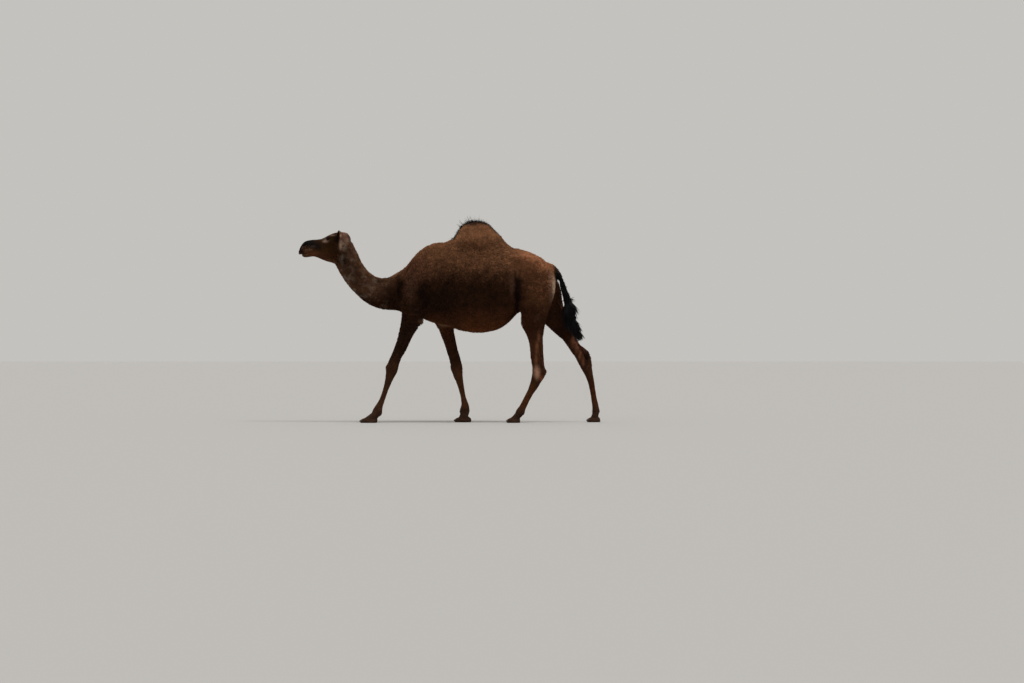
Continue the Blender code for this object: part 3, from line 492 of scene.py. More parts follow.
def crestOf(p):
    away, share, _ = alongPath(p * (1, 0.8, 1), crestPath)
    return fall(away, 0.02, 0.085) * ease(share, 0.0, 0.16) * fall(share, 0.84, 1.0)


def tailOf(p):
    away = alongPath(p, tailLine[:5] + [(1.235, -0.016, 1.275)])[0]
    return fall(away, 0.036, 0.06)


def legOf(p):
    # legs below the trunk; the belly between them is not one
    between = ease(p[:, 0], 0.13, 0.2) * fall(p[:, 0], 0.6, 0.7) * ease(p[:, 2], 0.74, 0.86)
    return fall(p[:, 2], 0.88, 1.1) * (1 - between)


def neckOf(p):
    return fall(p[:, 0], -0.66, -0.46) * ease(p[:, 2], 1.05, 1.12) * (1 - isHead(p))


def depthOf(p):
    depth = np.full(len(p), coatDepth["trunk"])
    shares = {"neck": neckOf(p), "leg": legOf(p), "tail": tailOf(p), "head": isHead(p),
              "muzzle": isHead(p) * fall(p[:, 0], -1.5, -1.38), "ear": isEar(p),
              "foot": isFoot(p), "crest": crestOf(p)}
    for part, share in shares.items():
        depth += share * (coatDepth[part] - depth)
    return depth


# the skin is drawn in by the coat's depth
drawn = depthOf(at) + bodySkin["grow"]
even = smoothed(np.stack([drawn] * 3, 1), edges, everywhere, 6)[:, 0]
carve(-even)
flatSoles = np.maximum(0.0006, at[:, 2] * 0.25 + 0.0004)
at[:, 2] = np.where(at[:, 2] < 0.004, flatSoles, at[:, 2])
setPoints(skin.data, at)

reduceTo(skin, bodySkin["triangles"] / (2 * len(skin.data.polygons)))
setSmooth(skin.data)
print("skin: drawn in under the coat,", len(skin.data.polygons), "triangles")


def addNode(tree, kind, inputs=None, **settings):
    # one node with its settings; inputs are values or other nodes' outputs, by socket name or number
    made = tree.nodes.new(kind)
    for key, value in settings.items():
        setattr(made, key, value)
    for socket, value in (inputs or {}).items():
        if isinstance(value, bpy.types.NodeSocket):
            tree.links.new(value, made.inputs[socket])
        else:
            made.inputs[socket].default_value = value
    return made


def calc(tree, operation, *values):
    return addNode(tree, "ShaderNodeMath", dict(enumerate(values)), operation=operation).outputs[0]


def vectorCalc(tree, operation, *values, **sockets):
    made = addNode(tree, "ShaderNodeVectorMath", {**dict(enumerate(values)), **sockets}, operation=operation)
    return made.outputs["Value" if operation == "LENGTH" else 0]


def objectPlace(tree):
    return addNode(tree, "ShaderNodeTexCoord").outputs["Object"]


def noise(tree, place, scale, detail=2.0, roughness=0.5):
    settings = {"Vector": place, "Scale": scale, "Detail": detail, "Roughness": roughness}
    return addNode(tree, "ShaderNodeTexNoise", settings).outputs


def attribute(tree, name):
    return addNode(tree, "ShaderNodeAttribute", attribute_name=name).outputs["Fac"]


def blend(tree, share, under, over):
    # two colours mixed by a share; each is a hex value or a socket
    under, over = (toLinear(c) if isinstance(c, str) else c for c in (under, over))
    mix = addNode(tree, "ShaderNodeMix", {"Factor": share, "A": under, "B": over}, data_type="RGBA")
    return mix.outputs["Result"]


def mapped(tree, value, low, high, to=(0.0, 1.0), kind="SMOOTHSTEP"):
    # a value's range from low to high spread over another one
    ends = {"Value": value, "From Min": low, "From Max": high, "To Min": to[0], "To Max": to[1]}
    return addNode(tree, "ShaderNodeMapRange", ends, interpolation_type=kind).outputs[0]


def outwards(tree, place):
    # the place with y counted outwards, and the place's three parts
    parts = addNode(tree, "ShaderNodeSeparateXYZ", {0: place}).outputs
    y = calc(tree, "ABSOLUTE", parts["Y"])
    return addNode(tree, "ShaderNodeCombineXYZ", {"X": parts["X"], "Y": y, "Z": parts["Z"]}).outputs[0], parts


def farFrom(tree, place, middle, sizes=(1, 1, 1)):
    # distance from a middle, in half sizes of an ellipsoid
    away = vectorCalc(tree, "DIVIDE", vectorCalc(tree, "SUBTRACT", place, middle), sizes)
    return vectorCalc(tree, "LENGTH", away)


def newMaterial(name, roughness, specular):
    made = bpy.data.materials.new(name)
    made.use_nodes = True
    shader = made.node_tree.nodes["Principled BSDF"]
    shader.inputs["Roughness"].default_value = roughness
    shader.inputs["Specular IOR Level"].default_value = specular
    return made, made.node_tree, shader


def paint(tree, shader, colour):
    tree.links.new(colour, shader.inputs["Base Color"])


def tinted(tree, shader, colour, value):
    # the shader's colour is this one made brighter or darker
    hue = addNode(tree, "ShaderNodeHueSaturation", {"Value": value, "Color": colour})
    paint(tree, shader, hue.outputs[0])


def setBump(tree, shader, height, strength, distance):
    bump = addNode(tree, "ShaderNodeBump", {"Height": height, "Strength": strength, "Distance": distance})
    tree.links.new(bump.outputs[0], shader.inputs["Normal"])


# Markings that skin and hair share. A patch is an ellipsoid: middle, half sizes, how soft its edge is,
# colour, strength. Y counts outwards on both sides, so they are laid on left and right alike.
markings = {
    "shade": "#3a2215",          # flank and lower body
    "warm": "#6a4831",           # sun-bleached brown of the back
    "foot": "#32231a",
    "flecks": "#927e6e",         # pale tips on the sides of the neck
    "wander": 0.07,              # how far the patches' edges may wander, in metres
    "clumpScale": 14.0,          # noise per metre: clumps of some 40 mm
    "curlScale": 60.0,           # curls of some 12 mm
    "fleckScale": 13.0,          # flecks of some 40 mm
}
markings["patches"] = [
    # belly and breast; the belly's reddish brown is partly its own colour and partly painted light bounced up
    # from the ground
    ((0.25, 0.0, 0.98), (0.6, 0.42, 0.26), 0.7, "#5b331c", 0.9),
    # painted shade on the lower body behind the forelegs and along the lower flank
    ((-0.14, 0.3, 1.26), (0.36, 0.3, 0.26), 0.9, "#1e110a", 0.8),
    ((0.3, 0.33, 1.36), (0.44, 0.2, 0.19), 0.9, "#2a190e", 0.75),
    # painted shade in the fold between barrel and thigh
    ((0.712, 0.25, 1.38), (0.048, 0.3, 0.27), 0.7, "#120804", 0.92),
    # painted highlight on the ribs just before the flank fold
    ((0.65, 0.25, 1.46), (0.034, 0.3, 0.14), 1.0, "#664a38", 0.45),
    # rump, thigh, stifle, and the pale edge of the buttock, which is painted rim light
    ((0.93, 0.1, 1.7), (0.28, 0.3, 0.2), 0.8, "#956446", 0.9),
    ((0.93, 0.2, 1.42), (0.17, 0.14, 0.28), 0.8, "#63402a", 0.85),
    # painted rim light down the rear edge of the buttock: a broad soft band and a narrow bright one
    ((1.075, 0.13, 1.43), (0.055, 0.09, 0.19), 1.0, "#93705a", 0.8),
    ((1.1, 0.13, 1.43), (0.026, 0.08, 0.11), 1.0, "#c8aa92", 0.85),
    # painted highlight on the stifle
    ((0.915, 0.14, 1.085), (0.04, 0.14, 0.05), 0.9, "#75594a", 0.7),
    ((0.775, 0.14, 1.05), (0.03, 0.14, 0.04), 0.9, "#6e4736", 0.65),
    ((0.86, 0.18, 1.07), (0.16, 0.14, 0.16), 0.6, "#3a2012", 0.7),
    # shoulder, withers and breast
    ((-0.36, 0.2, 1.6), (0.18, 0.2, 0.16), 0.6, "#64412f", 0.9),
    ((-0.4, 0.2, 1.43), (0.075, 0.2, 0.2), 0.9, "#523829", 0.75),
    # painted shade in the fold behind the shoulder and upper arm
    ((-0.265, 0.28, 1.34), (0.06, 0.3, 0.2), 1.0, "#150b06", 0.7),
    # neck: grey brown with a dark throat and nape, and painted shade where the shoulder overlaps its base
    ((-0.86, 0.08, 1.5), (0.3, 0.12, 0.24), 0.6, "#6b4c38", 0.9),
    ((-1.04, 0.06, 1.74), (0.1, 0.09, 0.2), 0.6, "#5f4534", 0.9),
    ((-0.9, 0.0, 1.32), (0.3, 0.07, 0.12), 0.6, "#22140c", 0.7),
    # painted shade in the fold at the neck's base, under the shoulder's front edge
    ((-0.6, 0.14, 1.34), (0.12, 0.16, 0.2), 1.0, "#281810", 0.6),
    ((-0.525, 0.14, 1.38), (0.034, 0.16, 0.19), 0.9, "#150b06", 0.85),
    ((-0.7, 0.0, 1.49), (0.18, 0.12, 0.07), 0.9, "#2b1a10", 0.75),
    # head: black muzzle and bridge, brown lips and jaw, pale round the eye and behind the ear, with painted
    # highlights on the muzzle and the poll
    ((-1.29, 0.0, 1.87), (0.25, 0.18, 0.2), 0.3, "#35200f", 1.0),
    ((-1.32, 0.03, 1.745), (0.15, 0.09, 0.042), 0.9, "#422516", 0.8),
    ((-1.45, 0.03, 1.775), (0.075, 0.08, 0.034), 0.9, "#502d1b", 0.85),
    ((-1.54, 0.03, 1.79), (0.05, 0.08, 0.045), 0.8, "#27150c", 0.85),
    ((-1.52, 0.03, 1.745), (0.04, 0.08, 0.016), 0.8, "#331b13", 0.8),
    ((-1.38, 0.03, 1.85), (0.06, 0.08, 0.05), 0.8, "#170f0b", 0.85),
    ((-1.5, 0.0, 1.876), (0.15, 0.1, 0.06), 0.55, "#0d0a09", 1.0),
    ((-1.585, 0.0, 1.82), (0.062, 0.09, 0.07), 0.6, "#0d0a09", 1.0),
    ((-1.35, 0.0, 1.95), (0.13, 0.075, 0.036), 0.7, "#393230", 0.9),
    # painted highlights: pale spots on the side of the muzzle
    ((-1.462, 0.045, 1.812), (0.03, 0.03, 0.008), 1.0, "#6f5a4c", 0.5),
    ((-1.43, 0.05, 1.846), (0.034, 0.03, 0.012), 1.0, "#443a35", 0.5),
    ((-1.303, 0.08, 1.903), (0.038, 0.05, 0.02), 0.95, "#a38a7b", 0.85),
    ((-1.325, 0.06, 1.93), (0.03, 0.04, 0.013), 0.95, "#75635a", 0.6),
    ((-1.225, 0.07, 1.962), (0.036, 0.05, 0.012), 0.95, "#7d675b", 0.6),
    ((-1.088, 0.03, 1.93), (0.066, 0.1, 0.09), 0.7, "#77584a", 0.9),
    ((-1.045, 0.03, 1.865), (0.04, 0.08, 0.06), 0.9, "#6f4f3c", 0.65),
    ((-1.125, 0.05, 1.715), (0.06, 0.1, 0.075), 0.8, "#22130b", 0.85),
    ((-1.165, 0.0, 1.68), (0.05, 0.06, 0.06), 0.8, "#1a0f09", 0.8),
    ((-1.185, 0.09, 1.93), (0.036, 0.06, 0.048), 0.4, "#1c110b", 1.0),
    ((-1.163, 0.09, 1.985), (0.02, 0.06, 0.042), 0.3, "#1c110b", 1.0),
    # painted highlight on the front edge of the pale poll
    ((-1.138, 0.08, 1.962), (0.011, 0.06, 0.026), 0.6, "#8a7162", 0.8),
    ((-1.142, 0.075, 1.858), (0.02, 0.06, 0.05), 0.9, "#aa907e", 0.85),
    # legs, with painted highlights along the hind legs' hock strings and on the front of the near hock
    ((-0.45, 0.17, 0.86), (0.22, 0.16, 0.34), 0.6, "#24150d", 0.85),
    ((0.04, 0.17, 0.8), (0.16, 0.16, 0.36), 0.6, "#2d1a10", 0.85),
    ((-0.66, 0.13, 0.4), (0.16, 0.12, 0.26), 0.6, "#3c2618", 0.85),
    ((0.12, 0.13, 0.4), (0.14, 0.12, 0.26), 0.6, "#482c1b", 0.85),
    ((0.9, 0.14, 0.78), (0.085, 0.1, 0.2), 0.6, "#4a2c1b", 0.85),
    # painted highlights in streaks along the near hind leg's hock string
    ((0.93, 0.14, 0.905), (0.02, 0.07, 0.08), 1.0, "#8d5f45", 0.7),
    ((0.912, 0.14, 0.79), (0.019, 0.07, 0.08), 1.0, "#8d5d42", 0.7),
    ((0.904, 0.14, 0.66), (0.019, 0.07, 0.08), 1.0, "#8d5d42", 0.7),
    # painted highlight on the front of the near hock
    ((0.914, 0.14, 0.525), (0.036, 0.07, 0.072), 1.0, "#cf9f84", 0.9),
    ((0.962, 0.14, 0.47), (0.026, 0.07, 0.04), 1.0, "#7f4a2e", 0.65),
    ((0.8, 0.13, 0.27), (0.14, 0.1, 0.24), 0.6, "#422512", 0.85),
    ((1.2, 0.15, 0.95), (0.14, 0.12, 0.16), 0.6, "#231007", 0.7),
    ((1.36, 0.13, 0.73), (0.09, 0.1, 0.15), 0.6, "#3d2114", 0.85),
    ((1.445, 0.13, 0.7), (0.036, 0.08, 0.11), 1.0, "#120a06", 0.85),
    # painted highlights in a streak along the far hind leg's hock string
    ((1.298, 0.13, 0.85), (0.026, 0.08, 0.06), 1.0, "#865841", 0.75),
    ((1.334, 0.13, 0.78), (0.024, 0.08, 0.06), 1.0, "#865841", 0.75),
    ((1.37, 0.13, 0.71), (0.021, 0.08, 0.06), 1.0, "#865841", 0.7),
    ((1.404, 0.13, 0.64), (0.018, 0.08, 0.055), 1.0, "#865841", 0.6),
    ((1.52, 0.13, 0.34), (0.07, 0.1, 0.26), 0.6, "#3c1e0d", 0.85),
    # tail and the hump's crest
    ((1.185, 0.0, 1.44), (0.085, 0.07, 0.17), 0.5, "#171110", 0.95),
    ((1.12, 0.0, 1.6), (0.062, 0.048, 0.06), 0.6, "#221816", 0.9),
    ((0.27, 0.0, 2.105), (0.23, 0.12, 0.062), 0.5, "#1d1412", 0.92),
    ((0.055, 0.0, 2.005), (0.058, 0.1, 0.105), 0.5, "#1d1412", 0.92),
    ((0.48, 0.0, 2.045), (0.095, 0.09, 0.07), 0.6, "#241916", 0.8),
    # horny pads on the breast and elbows
    ((-0.075, 0.0, 1.012), (0.09, 0.12, 0.022), 0.8, "#7d5f48", 0.6),
    ((-0.3, 0.19, 1.056), (0.034, 0.06, 0.032), 0.9, "#5c4232", 0.75),
]


def markingsGroup():
    tree = bpy.data.node_groups.new("coatMarkings", "ShaderNodeTree")
    tree.interface.new_socket("Colour", in_out="OUTPUT", socket_type="NodeSocketColor")
    end = tree.nodes.new("NodeGroupOutput")
    place = objectPlace(tree)
    # the edges of the patches wander by some 25 mm
    wander = vectorCalc(tree, "SUBTRACT", noise(tree, place, 9.0, 3.0, 0.6)["Color"], (0.5, 0.5, 0.5))
    moved = vectorCalc(tree, "ADD", place, vectorCalc(tree, "SCALE", wander, Scale=markings["wander"]))
    spot, parts = outwards(tree, moved)
    near, exact = outwards(tree, place)
    # woolly mottling
    clumps = noise(tree, place, markings["clumpScale"], 4.0, 0.65)["Fac"]
    curls = noise(tree, place, markings["curlScale"], 2.0, 0.6)["Fac"]
    # the back and hump are warm brown, and the flanks fall off into shade
    height = calc(tree, "MULTIPLY_ADD", clumps, 0.26, parts["Z"])
    colour = blend(tree, mapped(tree, height, 1.52, 1.88), markings["shade"], markings["warm"])
    for middle, sizes, soft, hexColour, strength in markings["patches"]:
        # small marks and those of the head keep their places
        small = max(sizes) < 0.09 or middle[0] < -1.1
        ragged = calc(tree, "MULTIPLY_ADD", curls, 0.7, farFrom(tree, near if small else spot, middle, sizes))
        share = mapped(tree, ragged, 1.35 - soft, 1.35 + 0.5 * soft, (strength, 0.0))
        colour = blend(tree, share, colour, hexColour)
    # pale flecks on the neck
    flecks = mapped(tree, noise(tree, place, markings["fleckScale"], 4.0, 0.55)["Fac"], 0.46, 0.7)
    onNeck = mapped(tree, parts["X"], -0.62, -0.78)
    for axis, low, high in (("X", -1.2, -1.1), ("Z", 1.05, 1.2)):
        onNeck = calc(tree, "MULTIPLY", onNeck, mapped(tree, exact[axis], low, high))
    flecks = calc(tree, "MULTIPLY", calc(tree, "MULTIPLY", flecks, onNeck), 0.78)
    colour = blend(tree, flecks, colour, markings["flecks"])
    # feet are grey brown
    onFeet = calc(tree, "MULTIPLY", mapped(tree, parts["Z"], 0.2, 0.07), 0.85)
    colour = blend(tree, onFeet, colour, markings["foot"])
    # light and dark locks
    value = calc(tree, "MULTIPLY_ADD", clumps, 1.5, calc(tree, "MULTIPLY_ADD", curls, 0.9, 0.55))
    value = calc(tree, "ADD", value, -0.75)
    hue = addNode(tree, "ShaderNodeHueSaturation", {"Value": value, "Color": colour})
    tree.links.new(hue.outputs[0], end.inputs["Colour"])
    return tree


coatColours = markingsGroup()

# short-haired hide: matt brown, its bump a flat short coat with fibres of some 2 mm and clumps of some 13 mm
hide, tree, shader = newMaterial("shortHairedHide", 0.85, 0.08)
place = objectPlace(tree)
stretched = addNode(tree, "ShaderNodeMapping", {"Vector": place, "Scale": (0.35, 1.0, 0.6)}).outputs[0]
fibres, clumps = noise(tree, stretched, 420.0)["Fac"], noise(tree, place, 75.0, 3.0, 0.6)["Fac"]
setBump(tree, shader, calc(tree, "MULTIPLY_ADD", clumps, 2.0, fibres), 0.55, 0.004)
tinted(tree, shader, addNode(tree, "ShaderNodeGroup", node_tree=coatColours).outputs[0], 1.1)


def hairOfCoat(name, root, tip, vary):
    # brightness at the root, what the tip adds, and how much one lock may differ from the next
    made, tree, shader = newMaterial(name, 0.85, 0.05)
    value = calc(tree, "MULTIPLY_ADD", attribute(tree, "along"), tip, root)
    value = calc(tree, "MULTIPLY_ADD", attribute(tree, "lockShade"), vary, value)
    # hair of the short-haired parts is lighter, painted light that makes up for the shade its spikes cast on
    # themselves, so that it blends into the hide
    value = calc(tree, "MULTIPLY_ADD", attribute(tree, "tone"), value, value)
    tinted(tree, shader, addNode(tree, "ShaderNodeGroup", node_tree=coatColours).outputs[0], value)
    return made


# woolly camel hair: matt and soft, each lock darker at its root and a little different from the next
wool = hairOfCoat("woollyCamelHair", 0.8, 0.55, 0.6)
# sleek short hair of face and legs: more even, and brighter than the wool by painted light that makes up for
# the shade of its spikes, so it looks as light as the hide it lies on
sleek = hairOfCoat("sleekShortHair", 1.2, 0.45, 0.5)

# coarse black hair of tail and hump: long fibres with a dull blue-black gleam, browner at their tips
coarse, tree, shader = newMaterial("coarseBlackHair", 0.5, 0.13)
black = blend(tree, attribute(tree, "lockShade"), "#050507", "#17171b")
paint(tree, shader, blend(tree, calc(tree, "MULTIPLY", attribute(tree, "along"), 0.45), black, "#1f1815"))

# toenail horn: smooth grey-brown keratin with faint growth lines
horn, tree, shader = newMaterial("toenailHorn", 0.42, 0.45)
wave = {"Vector": objectPlace(tree), "Scale": 52.0, "Distortion": 2.0, "Detail": 2.0}
lines = addNode(tree, "ShaderNodeTexWave", wave, bands_direction="X").outputs["Fac"]
paint(tree, shader, blend(tree, lines, "#261d17", "#372c24"))
setBump(tree, shader, lines, 0.3, 0.0008)

# wet eye: near-black brown iris with a level slot of a pupil, under a glossy front
eyeGloss, tree, shader = newMaterial("wetBrownEye", 0.09, 0.07)
place = objectPlace(tree)
spot = outwards(tree, place)[0]
eyeFront = tuple(eyeAt + np.array((-0.2, 0.97, 0.0)) * eyeRadius)
iris = blend(tree, noise(tree, place, 900.0)["Fac"], "#1c0a05", "#3d1c0e")
pupilEdge = mapped(tree, farFrom(tree, spot, eyeFront, (0.0095, 0.02, 0.0042)), 0.85, 1.15, kind="LINEAR")
irisEdge = mapped(tree, farFrom(tree, spot, eyeFront), 0.0125, 0.0145, kind="LINEAR")
paint(tree, shader, blend(tree, irisEdge, blend(tree, pupilEdge, "#040303", iris), "#1a100b"))

# bare dark skin at the edges of the lids: slightly moist leather with pores of under 2 mm
leather, tree, shader = newMaterial("bareDarkSkin", 0.5, 0.35)
pores = addNode(tree, "ShaderNodeTexVoronoi", {"Vector": objectPlace(tree), "Scale": 600.0})
pores = pores.outputs["Distance"]
paint(tree, shader, blend(tree, pores, "#120c0a", "#2b1e18"))
setBump(tree, shader, pores, 0.25, 0.0006)

skin.data.materials.clear()
skin.data.materials.append(hide)
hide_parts(*flesh)
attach(skin, "root")
print("materials made")


def dress(obj, slot, *solids):
    # a finished piece rides on the body and stands for its solids
    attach(obj, "root")
    if solids:
        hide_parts(*solids)
    return obj


eyeForm = {
    "look": (-0.24, 0.965, 0.06),      # which way the eye faces
    "cornea": 0.0016,                  # how far the clear front bulges
    "openWide": 0.0158, "openHigh": 0.0104,
}


def eyeAxes(side):
    look = Vector(eyeForm["look"]) * Vector((1, side, 1))
    look.normalize()
    level = Vector((0, 0, 1)).cross(look).normalized()      # along the eye, from corner to corner
    return look, level, look.cross(level)


sides = {"left": -1, "right": 1}
for name, side in sides.items():
    centre = Vector(eyeAt * (1, side, 1))
    look, level, high = eyeAxes(side)
    ball = bmesh.new()
    bmesh.ops.create_uvsphere(ball, u_segments=40, v_segments=24, radius=eyeRadius * 0.985)
    for vert in ball.verts:      # the pole is the middle of the cornea
        u, v, w = vert.co
        front = max(0.0, w / eyeRadius - 0.8) / 0.2
        w += eyeForm["cornea"] * front * front * (3 - 2 * front)
        vert.co = centre + level * u + high * v + look * w
    dress(newObject("eyeball_" + name, meshFrom(ball, "eye", eyeGloss)), "eye", "eye_" + name)

    # lids: an almond ring on the eyeball that rolls over at its edge, folds once and dives under the skin
    around, points, faces = 56, [], []
    # share of the way out, and distance from the eye's middle in radii
    profile = [(0.0, 0.965), (0.0, 1.01), (0.012, 1.06), (0.05, 1.09), (0.12, 1.105), (0.2, 1.095),
               (0.27, 1.12), (0.4, 1.17), (0.58, 1.225), (0.76, 1.27), (0.92, 1.29), (1.0, 1.23),
               (1.0, 0.96), (0.5, 0.96)]
    for k in range(around):
        turn = 2 * math.pi * k / around
        c, s = math.cos(turn), math.sin(turn)
        upper = s > 0
        wide, tall = eyeForm["openWide"], eyeForm["openHigh"] * (1.0 if upper else 0.8)
        openAt = np.array((wide * math.copysign(abs(c) ** 0.9, c), tall * math.copysign(abs(s) ** 1.25, s)))
        openAt[1] += 0.1 * openAt[0] * (1 if side < 0 else -1) * 0.6
        reach = np.linalg.norm(openAt) / eyeRadius
        start = math.asin(min(reach, 0.97))
        for share, far in profile:
            angle = start + share * (math.radians(84) - start)
            far = far + (0.012 if upper else -0.004) * math.sin(math.pi * min(share * 1.2, 1))
            d = openAt / np.linalg.norm(openAt)
            spot = (look * math.cos(angle) + (level * float(d[0]) + high * float(d[1])) * math.sin(angle))
            points.append(centre + spot * (eyeRadius * far))
    count = len(profile)
    for k in range(around):
        for j in range(count):
            here, beside, after = k * count, (k + 1) % around * count, (j + 1) % count
            faces.append((here + j, here + after, beside + after, beside + j))
    lids = newObject("eyelids_" + name, meshFrom(shapeOf(points, faces), "lids", hide))
    lids.data.materials.append(leather)      # the bare dark edge
    for face in lids.data.polygons:
        face.material_index = 1 if min(v % count for v in face.vertices) < 4 else 0
    dress(lids, "coat")

# toenails: short blunt claws, their solids made smooth, with shallow ridges
nailNodes = [n for n in nodes if "nail" in n]
nails = bmesh.new()
for solid in nailNodes:
    low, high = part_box(solid)
    middle, half = (low + high) / 2, (high - low) / 2
    for vert in bmesh.ops.create_uvsphere(nails, u_segments=28, v_segments=18, radius=1)["verts"]:
        x, y, z = vert.co
        front = (1 - x) / 2
        y *= 1 - 0.34 * front ** 2
        # hooks down to a blunt tip
        z = z * (1 - 0.4 * front ** 2) * (1.0 if z > 0 else 0.82) - 0.34 * front ** 2 + 0.14
        ridge = 1 + 0.015 * math.sin(9 * math.atan2(z, y))
        vert.co = middle + Vector((0.003 + x * half.x * 1.12, y * half.y * ridge, z * half.z * ridge))
        vert.co.z = max(vert.co.z, 0.002)
dress(newObject("toenails", meshFrom(nails, "toenails", horn)), "nail", *nailNodes)
print("eyes, lids and nails made")


# the coat: locks of hair laid by Geometry Nodes on roots picked over the skin
def store(mesh, name, values):
    # a number or a vector for each point, as a named attribute
    single = values.ndim == 1
    held = mesh.attributes.new(name, "FLOAT" if single else "FLOAT_VECTOR", "POINT")
    held.data.foreach_set("value" if single else "vector", values.astype(np.float32).ravel())


def hairMesh(name, points, along, faces):
    # along runs from root to tip, and patch is the lock's own little map, one unit across
    mesh = meshFrom(shapeOf(points, faces), name)
    store(mesh, "along", np.array(along, float))
    store(mesh, "patch", np.array([(x - 0.5, y, 0) for x, y, _ in points]))
    return bpy.data.objects.new(name, mesh)


def tuftMesh(name, hairs):
    # a tuft one unit long, wide and high: x along it, z away from the skin; each hair is a three-sided spike
    points, along, faces = [], [], []
    corners = ((0, 1, 2), (0, 1, 3), (1, 2, 3), (2, 0, 3))
    for start, y, reach, drift, rise in hairs:
        first = len(points)
        points += [(start, y - 0.22, -0.35), (start, y + 0.22, -0.35), (start + 0.05, y, 0.3)]
        points += [(reach, y + drift, rise)]
        along += [0, 0, 0.1, 1]
        faces += [(first + a, first + b, first + c) for a, b, c in corners]
    return hairMesh(name, points, along, faces)


def strandMesh(name, steps, sway, bow):
    # one long hair lock, three-sided, swaying aside and bowed away from the skin, tapering to a point
    points, along, faces = [], [], []
    for t in steps:
        half = 0.5 * (1 - t) ** 0.55 * (0.75 + 0.9 * min(t * 2.5, 1) * (1 - t))
        rise = -0.35 + 1.35 * math.sin(min(t * bow, 1) * math.pi / 2)
        ring = ((-half, -0.12), (half, -0.12), (0.0, 0.42 * (1 - t) ** 0.7)) if t < steps[-1] else ((0, 0),)
        points += [(t, y + sway * t * t, rise + z) for y, z in ring]
        along += [t] * len(ring)
    last = len(steps) - 2
    for first in range(0, 3 * last, 3):
        edges = [(first + k, first + (k + 1) % 3) for k in range(3)]
        faces += [(a, b, b + 3, a + 3) for a, b in edges]
    faces += [(last * 3 + k, last * 3 + (k + 1) % 3, len(points) - 1) for k in range(3)] + [(2, 1, 0)]
    return hairMesh(name, points, along, faces)


def lockSet(name, locks):
    held = bpy.data.collections.new(name)
    for lock in locks:
        held.objects.link(lock)
    return held


chance = np.random.default_rng(11)


def threeHairs():
    # start, place across, reach, place of the tip and height of each hair of a tuft
    return [(0.16 * chance.random(), y + 0.1 * chance.normal(), 0.8 + 0.2 * chance.random(),
             0.9 * y + 0.28 * chance.normal(), 0.55 + 0.45 * chance.random()) for y in (-0.32, 0.0, 0.32)]


shortLocks = lockSet("shortTufts", [tuftMesh("tuft" + str(k), threeHairs()) for k in range(5)])
swayAndBow = [(0.3, 1.2), (2.0, 1.4), (-2.0, 1.4), (3.4, 1.0), (-3.0, 1.1)]
longLocks = lockSet("longStrands", [strandMesh("strand" + str(k), (0, 0.2, 0.45, 0.72, 1.0), sway, bow)
                                    for k, (sway, bow) in enumerate(swayAndBow)])


